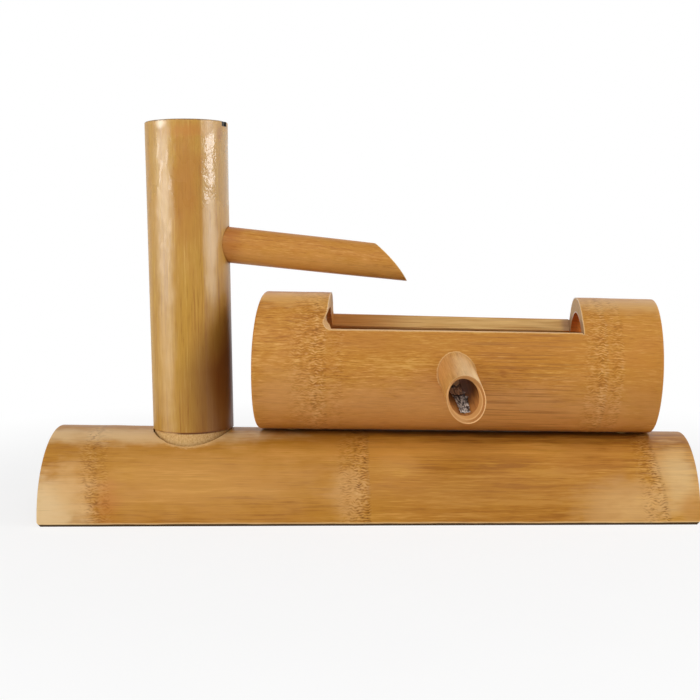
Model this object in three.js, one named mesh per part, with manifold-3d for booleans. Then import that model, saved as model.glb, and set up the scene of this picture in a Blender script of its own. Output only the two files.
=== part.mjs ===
// Bamboo spout fountain: a split culm as the base, an upright culm with a spout, and a trough with an outlet.
// Lengths are millimetres and angles are degrees.
// +X runs along the base from the post's end to the trough's end, -Y is the front and +Z is up.
// The origin is on the sawn underside of the base, in the middle of the partition at its middle node.

import * as THREE from 'three';
import { mergeVertices } from 'three/addons/utils/BufferGeometryUtils.js';
import Module from 'manifold-3d';

const wasm = await Module();
wasm.setup();

// Base: half of a culm, split along its axis and laid on the split.
const baseLength = 400;
const baseRadiusLeft = 53;
const baseRadiusDrop = 5.7;
const baseWall = 9.5;
const baseLeftNodeInset = 36.3;
const baseRightNodeInset = 27.5;
const baseMiddleNodeShare = 0.485;
const basePartition = 5;
const baseFootChamfer = 2.6;
const baseEdge = 1.2;

// Post: an upright culm, shaved to a tenon below its shoulder.
const postInset = 87.5;
const postRadiusTop = 25.9;
const postRadiusShoulder = 25.2;
const postWall = 6.5;
const postHeadLength = 73.5;
const postEdge = 0.9;
const tenonStep = 0.8;
const tenonLength = 30;

// Chip in the post's rim.
const chipBearing = -20;
const chipWidth = 4.5;
const chipDepth = 3.6;
const chipBite = 1.5;

// Hole for the post: a close fit low down, flared and cut off centre at the surface.
const holeFlare = 1.5;
const holeFlareDepth = 5.5;
const holeFlareLength = 16;
const holeDriftX = -0.8;
const holeDriftY = -1.3;

// Spout: a thin culm through the post's wall, falling towards its slanted tip.
const spoutFall = 6.6;
const spoutRadiusRoot = 11.45;
const spoutRadiusTip = 10.55;
const spoutWall = 2.2;
const spoutReach = 128.6;
const spoutRootInset = 10;
const spoutTipRise = 5.9;
const spoutBevelRake = 42.4;
const spoutBevelSkew = 10;
const spoutEdge = 0.5;

// Trough: a whole culm lying on the base, closed by its two partitions.
const troughPostGap = 22.5;
const troughRightInset = 20.6;
const troughRadiusLeft = 44;
const troughRadiusDrop = 1.8;
const troughWall = 9.5;
const troughLeftNodeInset = 34.2;
const troughRightNodeInset = 38.6;
const troughPartition = 4.5;
const troughLeftEndSkew = 5.8;
const troughRightEndSkew = 2.4;
const troughEdge = 1.4;

// Window sawn in the top of the trough between its partitions.
const windowSillHeight = 25.3;
const windowSillTilt = 4.7;
const windowLeftMargin = 5.8;
const windowRightMargin = 9;
const windowLeftLean = 5.8;
const windowRightLean = -3.1;
const windowLeftSkew = 2.9;
const windowRightSkew = 1.8;

// Outlet: a thin culm through the trough's front wall, aimed forward, down and a little to the right.
const outletStationShare = 0.489;
const outletDrop = 2.6;
const outletYaw = -79.5;
const outletFall = 26.3;
const outletRadius = 11.4;
const outletWall = 2.1;
const outletReach = 26.1;
const outletRootLength = 16;
const outletMouthRake = 34.9;
const outletMouthSkew = -8.3;
const outletEdge = 0.5;

// Pegs that key the trough to the crown of the base.
const pegRadius = 3;
const pegDepthInBase = 7;
const pegDepthInTrough = 6.2;
const pegEdge = 0.6;

// Hose inside the post, and the barbed joiner in its foot.
const hoseRadius = 4;
const hoseBoreRadius = 3;
const hoseBendRadius = 32;
const hoseRunInSpout = 42;
const joinerBarbLength = 9.6;
const joinerTailLength = 12;
const joinerCollarLength = 3;
const joinerCollarRadius = 5;
const joinerBoreRadius = 1.8;
const joinerBarbCount = 3;

// Clearances and cutting allowances.
const seatGap = 0.3;
const overrun = 12;
const partitionFillet = 3;

// Facets round a culm, a thin tube, a hose and a peg, and the steps along the hose.
const culmSides = 72;
const tubeSides = 40;
const hoseSides = 12;
const pegSides = 24;
const hoseSteps = 38;

const radians = THREE.MathUtils.degToRad;

// Places worked out from the sizes above.
const baseLeft = -baseLength * baseMiddleNodeShare;
const baseRight = baseLeft + baseLength;
const baseRadiusRight = baseRadiusLeft - baseRadiusDrop;
const baseSlope = baseRadiusDrop / baseLength;
const postX = baseLeft + postInset;
const shoulderZ = crownHeight(postX) + seatGap;
const tenonRadius = postRadiusShoulder - tenonStep;
const postBoreRadius = postRadiusShoulder - postWall;

const troughLeft = postX + postRadiusShoulder + troughPostGap;
const troughLength = baseRight - troughRightInset - troughLeft;
const troughRadiusRight = troughRadiusLeft - troughRadiusDrop;
const troughSlope = troughRadiusDrop / troughLength;
const troughPitch = Math.atan(baseSlope) + Math.atan(troughSlope);
const troughSeat = (troughRadiusLeft * Math.cos(Math.atan(troughSlope)) + seatGap) / Math.cos(Math.atan(baseSlope));
const troughAxisZ = crownHeight(troughLeft) + troughSeat;

const spoutTipReach = spoutReach + spoutRadiusTip * Math.tan(radians(spoutBevelRake));
const spoutTipDrop = spoutTipReach * Math.sin(radians(spoutFall)) + spoutRadiusTip * Math.cos(radians(spoutFall));
const spoutAxisZ = troughAxisZ + troughRadiusLeft + spoutTipRise + spoutTipDrop - shoulderZ;
const postHeight = spoutAxisZ + postHeadLength;

function baseRadius(x) {
  return baseRadiusLeft - baseSlope * (x - baseLeft);
}

function crownHeight(x) {
  return baseRadius(x);
}

function troughRadius(x) {
  return troughRadiusLeft - troughSlope * x;
}

// Solids from three.js geometry and back.

function toSolid(geometry) {
  const bare = geometry.clone();
  bare.deleteAttribute('normal');
  bare.deleteAttribute('uv');
  const merged = mergeVertices(bare);
  const corners = merged.index.array;
  const triangles = [];
  for (let i = 0; i < corners.length; i += 3) {
    const [a, b, c] = corners.slice(i, i + 3);
    if (a !== b && b !== c && c !== a) {
      triangles.push(a, b, c);
    }
  }
  const vertProperties = new Float32Array(merged.attributes.position.array);
  return new wasm.Manifold(new wasm.Mesh({ numProp: 3, vertProperties, triVerts: new Uint32Array(triangles) }));
}

function toMesh(name, solid, material) {
  const surface = solid.getMesh();
  const geometry = new THREE.BufferGeometry();
  geometry.setAttribute('position', new THREE.BufferAttribute(new Float32Array(surface.vertProperties), 3));
  geometry.setIndex(new THREE.BufferAttribute(new Uint32Array(surface.triVerts), 1));
  geometry.computeVertexNormals();
  const mesh = new THREE.Mesh(geometry, material);
  mesh.name = name;
  return mesh;
}

function cutAll(solid, cutters) {
  return cutters.reduce((left, cutter) => left.subtract(toSolid(cutter)), solid);
}

// A tapering round bar along +X with a bevel round each end.
function roundBar(start, end, radiusStart, radiusEnd, bevelStart, bevelEnd, sides) {
  const profile = [
    new THREE.Vector2(0, start),
    new THREE.Vector2(radiusStart - bevelStart, start),
    new THREE.Vector2(radiusStart, start + bevelStart),
    new THREE.Vector2(radiusEnd, end - bevelEnd),
    new THREE.Vector2(radiusEnd - bevelEnd, end),
    new THREE.Vector2(0, end),
  ];
  return new THREE.LatheGeometry(profile, sides).rotateZ(-Math.PI / 2);
}

// A bar turned round +Z from a list of [radius, height] pairs.
function turned(pairs, sides) {
  const profile = pairs.map(([radius, height]) => new THREE.Vector2(radius, height));
  return new THREE.LatheGeometry(profile, sides).rotateX(Math.PI / 2);
}

// Everything beyond a plane, whose normal starts as +X, is raised by rake and is then turned by skew.
function beyondPlane(size, place, rake, skew) {
  const block = new THREE.BoxGeometry(size, size, size).translate(size / 2, 0, 0);
  return block.rotateY(-radians(rake)).rotateZ(radians(skew)).translate(place.x, place.y, place.z);
}

// Slides the two halves of a bar along X in proportion to Y, so that its ends are sawn askew.
function skewEnds(geometry, middle, startSkew, endSkew) {
  const points = geometry.attributes.position;
  for (let i = 0; i < points.count; i += 1) {
    const skew = points.getX(i) < middle ? startSkew : endSkew;
    points.setX(i, points.getX(i) + Math.tan(radians(skew)) * points.getY(i));
  }
  return geometry;
}

// The hollow of a culm between two places along it, rounded where it meets a partition.
function hollow(start, end, radiusAt, wall, openStart, openEnd) {
  const from = openStart ? start - overrun : start;
  const to = openEnd ? end + overrun : end;
  const filletStart = openStart ? 0 : partitionFillet;
  const filletEnd = openEnd ? 0 : partitionFillet;
  return roundBar(from, to, radiusAt(from) - wall, radiusAt(to) - wall, filletStart, filletEnd, culmSides);
}

// The hollows of a culm with a partition of the given thickness at each of its nodes.
function hollowsBetween(start, end, nodes, partition, radiusAt, wall) {
  const edges = [start, ...nodes, end];
  return edges.slice(1).map((edge, i) => {
    const from = edges[i] + (i === 0 ? 0 : partition / 2);
    const to = edge - (i === nodes.length ? 0 : partition / 2);
    return hollow(from, to, radiusAt, wall, i === 0, i === nodes.length);
  });
}

// Materials.

function bamboo(color, roughness) {
  return new THREE.MeshStandardMaterial({ color, roughness, metalness: 0 });
}

const baseBamboo = bamboo(0xb9792f, 0.42);
const postBamboo = bamboo(0xcb9448, 0.3);
const spoutBamboo = bamboo(0xbb752f, 0.45);
const troughBamboo = bamboo(0xc78639, 0.42);
const outletBamboo = bamboo(0xc4964f, 0.6);
const pegBamboo = bamboo(0xcfae72, 0.7);
const clearVinyl = bamboo(0xc9cfc9, 0.35);
const blackPlastic = bamboo(0x26282a, 0.5);

// Base.

function postHole() {
  const fitRadius = tenonRadius + seatGap;
  const flareTop = crownHeight(postX) - holeFlareDepth;
  const flareFoot = flareTop - holeFlareLength;
  const top = crownHeight(baseLeft) + overrun;
  const hole = turned([
    [0, -overrun],
    [fitRadius, -overrun],
    [fitRadius, flareFoot],
    [fitRadius + holeFlare, flareTop],
    [fitRadius + holeFlare, top],
    [0, top],
  ], culmSides);
  const points = hole.attributes.position;
  for (let i = 0; i < points.count; i += 1) {
    const share = THREE.MathUtils.clamp((points.getZ(i) - flareFoot) / holeFlareLength, 0, 1);
    points.setX(i, points.getX(i) + holeDriftX * share);
    points.setY(i, points.getY(i) + holeDriftY * share);
  }
  return hole.translate(postX, 0, 0);
}

function footChamfer(x) {
  const side = baseFootChamfer * Math.SQRT2;
  return new THREE.BoxGeometry(side, 2 * baseRadiusLeft + overrun, side).rotateY(Math.PI / 4).translate(x, 0, 0);
}

function belowGround() {
  const depth = baseRadiusLeft + overrun;
  const width = 2 * depth;
  const length = baseLength + 2 * overrun;
  return new THREE.BoxGeometry(length, width, depth).translate((baseLeft + baseRight) / 2, 0, -depth / 2);
}

// The round body of a peg between two heights, turned at the origin.
function pegBody(foot, top, radius, edge) {
  return turned([[0, foot], [radius - edge, foot], [radius, foot + edge], [radius, top - edge], [radius - edge, top],
    [0, top]], pegSides);
}

function pegHole(x) {
  const foot = crownHeight(x) - pegDepthInBase - seatGap;
  const top = crownHeight(x) + seatGap + pegDepthInTrough + seatGap;
  return pegBody(foot, top, pegRadius + seatGap, pegEdge).translate(x, 0, 0);
}

function peg(name, x) {
  const foot = crownHeight(x) - pegDepthInBase;
  const top = crownHeight(x) + seatGap + pegDepthInTrough;
  const mesh = toMesh(name, toSolid(pegBody(foot, top, pegRadius, pegEdge)), pegBamboo);
  mesh.position.x = x;
  return mesh;
}

function baseHalfCulm() {
  const nodes = [baseLeft + baseLeftNodeInset, 0, baseRight - baseRightNodeInset];
  const log = roundBar(baseLeft, baseRight, baseRadiusLeft, baseRadiusRight, baseEdge, baseEdge, culmSides);
  const cutters = [
    ...hollowsBetween(baseLeft, baseRight, nodes, basePartition, baseRadius, baseWall),
    belowGround(),
    footChamfer(baseLeft),
    footChamfer(baseRight),
    postHole(),
    ...pegPlaces.map(pegHole),
  ];
  return toMesh('base_half_culm', cutAll(toSolid(log), cutters), baseBamboo);
}

// Post and spout, in a frame at the middle of the post's shoulder.

function spoutPlacement() {
  const place = new THREE.Object3D();
  place.position.z = spoutAxisZ;
  place.rotation.y = radians(spoutFall);
  place.updateMatrix();
  return place;
}

function spoutRadius(x) {
  return THREE.MathUtils.mapLinear(x, spoutRoot, spoutReach, spoutRadiusRoot, spoutRadiusTip);
}

function spoutHole() {
  const radius = spoutRadiusRoot + seatGap;
  const end = postRadiusTop + overrun;
  return roundBar(0, end, radius, radius, 0, 0, tubeSides).applyMatrix4(spoutPlacement().matrix);
}

function rimChip() {
  const radius = postRadiusTop - chipBite;
  const block = new THREE.BoxGeometry(overrun, chipWidth, 2 * chipDepth);
  return block.translate(radius + overrun / 2, 0, postHeight).rotateZ(radians(chipBearing));
}

function postCulm() {
  const boreTop = postRadiusTop - postWall;
  const culm = turned([
    [postBoreRadius, -tenonLength],
    [tenonRadius - postEdge, -tenonLength],
    [tenonRadius, -tenonLength + postEdge],
    [tenonRadius, 0],
    [postRadiusShoulder, 0],
    [postRadiusTop, postHeight - postEdge],
    [postRadiusTop - postEdge, postHeight],
    [boreTop, postHeight],
    [postBoreRadius, -tenonLength],
  ], culmSides);
  return toMesh('post_culm', cutAll(toSolid(culm), [spoutHole(), rimChip()]), postBamboo);
}

function spoutTube() {
  const end = spoutTipReach + overrun;
  const tube = roundBar(spoutRoot, end, spoutRadiusRoot, spoutRadius(end), spoutEdge, 0, tubeSides);
  const boreStart = spoutRoot - overrun;
  const boreEnd = end + overrun;
  const bore = roundBar(boreStart, boreEnd, spoutRadius(boreStart) - spoutWall, spoutRadius(boreEnd) - spoutWall,
    0, 0, tubeSides);
  const tip = beyondPlane(spoutReach, new THREE.Vector3(spoutReach, 0, 0), spoutBevelRake, spoutBevelSkew);
  return toMesh('spout_tube', cutAll(toSolid(tube), [bore, tip]), spoutBamboo);
}

// Route of the hose: up one side of the post's bore, round one bend, and along the spout.
class HoseRoute extends THREE.Curve {
  constructor() {
    super();
    this.x = -(postBoreRadius - seatGap - hoseRadius);
    this.centreX = this.x + hoseBendRadius;
    this.bend = Math.PI / 2 + radians(spoutFall);
    const endX = this.centreX + hoseBendRadius * Math.sin(radians(spoutFall));
    const endZ = spoutAxisZ - endX * Math.tan(radians(spoutFall));
    this.centreZ = endZ - hoseBendRadius * Math.cos(radians(spoutFall));
    this.rise = this.centreZ + tenonLength;
    this.arc = hoseBendRadius * this.bend;
    this.length = this.rise + this.arc + hoseRunInSpout;
  }

  getPoint(share, target = new THREE.Vector3()) {
    const run = share * this.length;
    if (run < this.rise) {
      return target.set(this.x, 0, run - tenonLength);
    }
    const angle = Math.min((run - this.rise) / hoseBendRadius, this.bend);
    const rest = Math.max(run - this.rise - this.arc, 0);
    return target.set(
      this.centreX - hoseBendRadius * Math.cos(angle) + rest * Math.cos(radians(spoutFall)),
      0,
      this.centreZ + hoseBendRadius * Math.sin(angle) - rest * Math.sin(radians(spoutFall)),
    );
  }
}

// A ring of flat sides, which a hose keeps along its route.
function polygon(radius, target) {
  for (let i = 0; i < hoseSides; i += 1) {
    const angle = 2 * Math.PI * i / hoseSides;
    const place = [radius * Math.cos(angle), radius * Math.sin(angle)];
    if (i === 0) {
      target.moveTo(...place);
    } else {
      target.lineTo(...place);
    }
  }
  target.closePath();
  return target;
}

function riserHose() {
  const section = polygon(hoseRadius, new THREE.Shape());
  section.holes.push(polygon(hoseBoreRadius, new THREE.Path()));
  const tube = new THREE.ExtrudeGeometry(section, { steps: hoseSteps, extrudePath: new HoseRoute() });
  return toMesh('riser_hose', toSolid(tube), clearVinyl);
}

// Barbs rise against the way they are pushed in, one step for each barb.
function barbs(start, length, count, tipRadius, rootRadius) {
  const pitch = length / count;
  const pairs = [];
  for (let i = 0; i < count; i += 1) {
    pairs.push([tipRadius, start + i * pitch]);
    pairs.push([rootRadius, start + (i + 1) * pitch]);
  }
  return pairs;
}

function hoseJoiner() {
  const barbRadius = hoseBoreRadius * Math.cos(Math.PI / hoseSides) - seatGap;
  const neckRadius = (barbRadius + joinerBoreRadius) / 2;
  const top = joinerBarbLength;
  const collarTop = -seatGap;
  const collarFoot = collarTop - joinerCollarLength;
  const foot = collarFoot - joinerTailLength;
  const lower = barbs(foot, joinerTailLength, joinerBarbCount, neckRadius, barbRadius);
  const upper = barbs(0, joinerBarbLength, joinerBarbCount, neckRadius, barbRadius);
  const upperDown = upper.map(([radius, height]) => [radius, top - height]).reverse();
  const joiner = turned([
    [joinerBoreRadius, foot],
    ...lower,
    [joinerCollarRadius, collarFoot],
    [joinerCollarRadius, collarTop],
    ...upperDown,
    [joinerBoreRadius, top],
    [joinerBoreRadius, foot],
  ], pegSides);
  const mesh = toMesh('hose_joiner', toSolid(joiner), blackPlastic);
  mesh.position.set(new HoseRoute().x, 0, -tenonLength);
  return mesh;
}

// Trough and outlet, in a frame at the middle of the trough's left end, with +X along its axis.

function troughPlacement() {
  const place = new THREE.Group();
  place.position.set(troughLeft, 0, troughAxisZ);
  place.rotation.y = troughPitch;
  place.updateMatrix();
  return place;
}

function windowCut() {
  const tilt = Math.tan(radians(windowSillTilt));
  const left = troughLeftNode + windowLeftMargin;
  const right = troughRightNode - windowRightMargin;
  const height = troughRadiusLeft + overrun;
  const halfWidth = troughRadiusLeft + overrun;
  const block = new THREE.BoxGeometry(right - left, 2 * halfWidth, height);
  const points = block.attributes.position;
  for (let i = 0; i < points.count; i += 1) {
    const isLeft = points.getX(i) < 0;
    const y = points.getY(i);
    const aboveSill = points.getZ(i) + height / 2;
    const lean = Math.tan(radians(isLeft ? windowLeftLean : windowRightLean));
    const skew = Math.tan(radians(isLeft ? windowLeftSkew : windowRightSkew));
    points.setX(i, (isLeft ? left : right) + lean * aboveSill + skew * y);
    points.setZ(i, windowSillHeight + tilt * y + aboveSill);
  }
  return block;
}

function outletPlacement() {
  const place = new THREE.Group();
  const height = -outletDrop;
  const depth = Math.sqrt(troughRadius(outletStation) ** 2 - height ** 2);
  place.position.set(outletStation, -depth, height);
  place.rotation.set(0, radians(outletFall), radians(outletYaw), 'ZYX');
  place.updateMatrix();
  return place;
}

function outletHole() {
  const radius = outletRadius + seatGap;
  const inner = -outletRootLength - overrun;
  return roundBar(inner, overrun, radius, radius, 0, 0, tubeSides).applyMatrix4(outletPlacement().matrix);
}

function troughCulm() {
  const nodes = [troughLeftNode, troughRightNode];
  const log = roundBar(0, troughLength, troughRadiusLeft, troughRadiusRight, troughEdge, troughEdge, culmSides);
  skewEnds(log, troughLength / 2, troughLeftEndSkew, troughRightEndSkew);
  const toTrough = troughPlacement().matrix.clone().invert();
  const cutters = [
    ...hollowsBetween(0, troughLength, nodes, troughPartition, troughRadius, troughWall),
    windowCut(),
    outletHole(),
    ...pegPlaces.map((x) => pegHole(x).applyMatrix4(toTrough)),
  ];
  return toMesh('trough_culm', cutAll(toSolid(log), cutters), troughBamboo);
}

function outletTube() {
  const end = outletReach + outletRadius + overrun;
  const tube = roundBar(-outletRootLength, end, outletRadius, outletRadius, outletEdge, outletEdge, tubeSides);
  const boreRadius = outletRadius - outletWall;
  const bore = roundBar(-outletRootLength - overrun, end + overrun, boreRadius, boreRadius, 0, 0, tubeSides);
  const mouth = beyondPlane(end, new THREE.Vector3(outletReach, 0, 0), outletMouthRake, outletMouthSkew);
  return toMesh('outlet_tube', cutAll(toSolid(tube), [bore, mouth]), outletBamboo);
}

// Places of small features that follow the pieces that carry them.
const spoutRoot = postBoreRadius - spoutRootInset;
const troughLeftNode = troughLeftNodeInset;
const troughRightNode = troughLength - troughRightNodeInset;
const outletStation = troughLength * outletStationShare;
const pegPlaces = [
  troughLeft + (troughLeftNodeInset - troughPartition / 2) / 2,
  troughLeft + troughLength - (troughRightNodeInset - troughPartition / 2) / 2,
];

// Assembly.

const post = new THREE.Group();
post.position.set(postX, 0, shoulderZ);
const spout = new THREE.Group();
spout.copy(spoutPlacement());
spout.add(spoutTube());
post.add(postCulm(), spout, riserHose(), hoseJoiner());

const trough = troughPlacement();
const outlet = outletPlacement();
outlet.add(outletTube());
trough.add(troughCulm(), outlet);

const fountain = new THREE.Group();
fountain.add(baseHalfCulm(), post, trough);
fountain.add(peg('trough_peg_left', pegPlaces[0]), peg('trough_peg_right', pegPlaces[1]));

export default fountain;
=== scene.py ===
"""Looks of a bamboo spout fountain: a split culm as base, an upright culm with a spout, and a trough."""

import math

import bpy
import numpy as np
from mathutils import Matrix, Vector, kdtree, noise


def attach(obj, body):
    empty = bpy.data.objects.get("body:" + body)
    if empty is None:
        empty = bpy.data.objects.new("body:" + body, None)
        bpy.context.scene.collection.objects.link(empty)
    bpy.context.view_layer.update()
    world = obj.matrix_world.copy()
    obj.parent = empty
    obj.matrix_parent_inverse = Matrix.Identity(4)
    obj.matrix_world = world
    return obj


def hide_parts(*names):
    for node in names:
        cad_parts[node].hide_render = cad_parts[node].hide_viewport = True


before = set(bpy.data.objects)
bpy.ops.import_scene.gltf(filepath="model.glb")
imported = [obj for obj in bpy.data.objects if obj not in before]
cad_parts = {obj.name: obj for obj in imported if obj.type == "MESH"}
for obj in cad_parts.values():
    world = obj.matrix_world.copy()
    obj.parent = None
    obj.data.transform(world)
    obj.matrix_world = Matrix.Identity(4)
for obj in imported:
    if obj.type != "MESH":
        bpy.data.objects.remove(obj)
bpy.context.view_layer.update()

MM = 0.001

# Sizes in millimetres and angles in degrees.
BASE_LENGTH = 400.0
BASE_RADIUS = 53.0
BASE_DROP = 5.7
BASE_WALL = 9.5
BASE_NODE_INSETS = (36.3, 27.5)
BASE_MIDDLE_SHARE = 0.485
BASE_PARTITION = 5.0
BASE_FOOT_CHAMFER = 2.6
BASE_EDGE = 1.2
FOOT_BEVEL = 0.9
FOOT_BEVEL_SLIVERS = (0.15, -0.05)
FOOT_BEVEL_OUTSIDE = 2.0

POST_INSET = 87.5
POST_RADIUS_TOP = 25.9
POST_RADIUS_SHOULDER = 25.2
POST_WALL = 6.5
POST_HEAD = 73.5
POST_EDGE = 0.9
SHOULDER_EDGE = 0.25
POST_SKIN_START = 1.2
TENON_STEP = 0.8
TENON_LENGTH = 30.0

POST_SWELL = 0.8
POST_SWELL_HEIGHT = 130.0

CHIP_BEARING = -15.0
CHIP_WIDTH = 7.0
CHIP_DEPTH = 3.2
CHIP_BITE = 1.5

HOLE_FLARE = 0.6
HOLE_FLARE_DEPTH = 5.5
HOLE_FLARE_LENGTH = 16.0
HOLE_SCOOP = 2.1
HOLE_NICKS = 0.25

SPOUT_FALL = 6.6
SPOUT_RADIUS_ROOT = 11.45
SPOUT_RADIUS_TIP = 10.55
SPOUT_WALL = 2.2
SPOUT_REACH = 128.6
SPOUT_ROOT_INSET = 10.0
SPOUT_TIP_RISE = 5.9
SPOUT_RAKE = 42.4
SPOUT_SKEW = 10.0
SPOUT_EDGE = 0.5
SPOUT_BULGE = 0.7
SPOUT_BULGE_WIDTH = 14.0
SPOUT_MOUTH_RAKE = 45.6
SPOUT_SWELL = 0.25
SPOUT_SWELL_LENGTH = 60.0

TROUGH_POST_GAP = 22.5
TROUGH_RIGHT_INSET = 20.6
TROUGH_RADIUS = 44.0
TROUGH_DROP = 1.8
TROUGH_WALL = 9.5
TROUGH_NODE_INSETS = (34.2, 38.6)
TROUGH_PARTITION = 4.5
TROUGH_END_SKEWS = (5.8, 2.4)
TROUGH_END_REACH = 12.0
TROUGH_EDGE = 1.4
TROUGH_BOW = 0.0012

SILL_HEIGHTS = (26.9, 26.4)
SILL_TILTS = (6.2, 5.4)
WINDOW_MARGINS = (5.8, 9.0)
WINDOW_LEANS = (5.8, -3.1)
WINDOW_SKEWS = (2.9, 1.8)
WINDOW_FOOT = (
    (0.0, 4.2), (0.6, 2.9), (1.3, 1.9), (2.4, 0.8), (3.7, -0.1), (4.9, -0.25), (6.3, 0.2), (8.3, 0.8),
    (10.1, 1.0), (12.3, 0.8), (16.3, 0.1),
)
KERF_WIDTH = 0.7
KERF_DEPTH = 0.7
SILL_DIP = 1.8
SILL_DIP_WIDTH = 12.0
BACK_BEVEL = 9.9
BACK_BEVEL_WIDTH = 8.5
SILL_RIM = 8.0
# Heights over which the painted highlights on the trough's cut faces fade in.
GLINT_HEIGHTS = (26.8, 29.3)

# The saw's waves on the sill and its marks on the window's walls. Behind the middle the left wall bends, and
# its scooped foot fades out.
SAW_WAVES = 0.12
SAW_MARKS = 0.1
BACK_SLANT_REACH = 38.0
FOOT_FADE_START = 10.0
FOOT_FADE_LENGTH = 30.0

OUTLET_SHARE = 0.489
OUTLET_DROP = 2.6
OUTLET_YAW = -79.5
OUTLET_FALL = 26.3
OUTLET_RADIUS = 11.4
OUTLET_WALL = 2.1
OUTLET_REACH = 26.1
OUTLET_ROOT = 16.0
OUTLET_RAKE = 34.9
OUTLET_SKEW = -8.3
OUTLET_EDGE = 0.5
OUTLET_FIT = 0.1
OUTLET_BORE_DRIFT = (-1.5, 1.2)
OUTLET_BORE_SHARE = 0.957
LINING_LENGTH = 29.0
LINING_BEARINGS = (258.0, 279.0)
LINING_SPREAD = 25.0
LINING_LIFT = 6.5
LINING_FOLD = 0.45
LINING_THICKNESS = 0.12
LINING_ROWS = 72
LINING_COLUMNS = 32
LINING_FOLDS = (3.6, 10.0)

PEG_RADIUS = 3.0
PEG_IN_BASE = 7.0
PEG_IN_TROUGH = 6.2
PEG_EDGE = 0.6
PEG_FLUTES = 5
PEG_TWIST = 0.1

HOSE_RADIUS = 4.0
HOSE_BORE = 3.0
HOSE_BEND = 32.0
HOSE_IN_SPOUT = 42.0
HOSE_EDGE = 0.2
JOINER_BARB = 9.6
JOINER_TAIL = 12.0
JOINER_COLLAR = 3.0
JOINER_COLLAR_RADIUS = 5.0
JOINER_COLLAR_EDGE = 0.4
JOINER_BORE = 1.8
JOINER_FLUTES = 18
HOSE_SIDES_IN_CAD = 12

SEAT_GAP = 0.3
OVERRUN = 12.0
FILLET = 3.0
DISH = 1.5
PARTITION_MARGIN = 2.0
PLANE_HALF = 60.0
FLUTE_DEPTH = 0.03

# How far a culm is out of round and swells at a node, which fades out at CULM_RIND under its skin.
CULM_OVAL = 0.12
NODE_SWELLING = 0.15
NODE_SWELLING_REACH = 7.0
CULM_RIND = 2.5

# Steps of the fine meshes.
CULM_SIDES = 192
POST_SIDES = 160
TUBE_SIDES = 96
JOINER_SIDES = 72
ROD_SIDES = 40
PEG_HOLE_SIDES = 32
SKIN_STEP = 1.3
BORE_STEP = 4.0
WALL_STEP = 2.0
FACE_STEP = 3.0
SPOUT_STEP = 1.1
OUTLET_STEP = 0.9
PEG_STEP = 0.8
HOSE_STEP = 1.6
ROUND_STEPS = 4
PLANE_CELLS = 24
SHARP_ANGLE = math.radians(32)

# How far off a sharp edge is measured, and how far apart its samples are.
EDGE_REACH = 6.0
EDGE_SPACING = 0.5

# Materials of a culm, in the order of its material slots.
SKIN, CUT, BORE, SPLIT = 0, 1, 2, 3

# Figure of a node: the pitch of its strokes and how far they bend, in millimetres.
STROKE_PITCH = 1.7
STROKE_BEND = 2.3


def clamped(value):
    return min(max(value, 0.0), 1.0)


def between(pair, share):
    return pair[0] + share * (pair[1] - pair[0])


def tangent(degrees):
    return math.tan(math.radians(degrees))


def turn_about(axis, degrees):
    return Matrix.Rotation(math.radians(degrees), 4, axis)


def moved_to(x, y, z):
    """Placement of a piece that isn't turned, from a place in millimetres."""
    return Matrix.Translation((x * MM, y * MM, z * MM))


def upright(x, z):
    """Placement of a piece whose own X axis points up, from a place in millimetres."""
    return Matrix(((0, 1, 0, x * MM), (0, 0, 1, 0), (1, 0, 0, z * MM), (0, 0, 0, 1)))


def rough(*place):
    """Smooth noise from about -1 to 1, the same in every run."""
    return noise.noise(Vector(place))


# Places worked out from the sizes above.
BASE_LEFT = -BASE_LENGTH * BASE_MIDDLE_SHARE
BASE_RIGHT = BASE_LEFT + BASE_LENGTH
BASE_SLOPE = BASE_DROP / BASE_LENGTH
BASE_NODES = (BASE_LEFT + BASE_NODE_INSETS[0], 0.0, BASE_RIGHT - BASE_NODE_INSETS[1])
POST_X = BASE_LEFT + POST_INSET


def base_radius(x):
    return BASE_RADIUS - BASE_SLOPE * (x - BASE_LEFT)


SHOULDER_Z = base_radius(POST_X) + SEAT_GAP
TENON_RADIUS = POST_RADIUS_SHOULDER - TENON_STEP
POST_BORE = POST_RADIUS_SHOULDER - POST_WALL
TROUGH_LEFT = POST_X + POST_RADIUS_SHOULDER + TROUGH_POST_GAP
TROUGH_LENGTH = BASE_RIGHT - TROUGH_RIGHT_INSET - TROUGH_LEFT
TROUGH_SLOPE = TROUGH_DROP / TROUGH_LENGTH
BASE_PITCH = math.atan(BASE_SLOPE)
TROUGH_PITCH = BASE_PITCH + math.atan(TROUGH_SLOPE)
TROUGH_SEAT = (TROUGH_RADIUS * math.cos(math.atan(TROUGH_SLOPE)) + SEAT_GAP) / math.cos(BASE_PITCH)
TROUGH_Z = base_radius(TROUGH_LEFT) + TROUGH_SEAT
TROUGH_NODES = (TROUGH_NODE_INSETS[0], TROUGH_LENGTH - TROUGH_NODE_INSETS[1])
FALL = math.radians(SPOUT_FALL)
SPOUT_TIP_REACH = SPOUT_REACH + SPOUT_RADIUS_TIP * tangent(SPOUT_RAKE)
SPOUT_TIP_DROP = SPOUT_TIP_REACH * math.sin(FALL) + SPOUT_RADIUS_TIP * math.cos(FALL)
SPOUT_Z = TROUGH_Z + TROUGH_RADIUS + SPOUT_TIP_RISE + SPOUT_TIP_DROP - SHOULDER_Z
POST_HEIGHT = SPOUT_Z + POST_HEAD
SPOUT_ROOT = POST_BORE - SPOUT_ROOT_INSET
OUTLET_STATION = TROUGH_LENGTH * OUTLET_SHARE
OUTLET_BORE = OUTLET_RADIUS - OUTLET_WALL
HOSE_X = -(POST_BORE - SEAT_GAP - HOSE_RADIUS)
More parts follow.
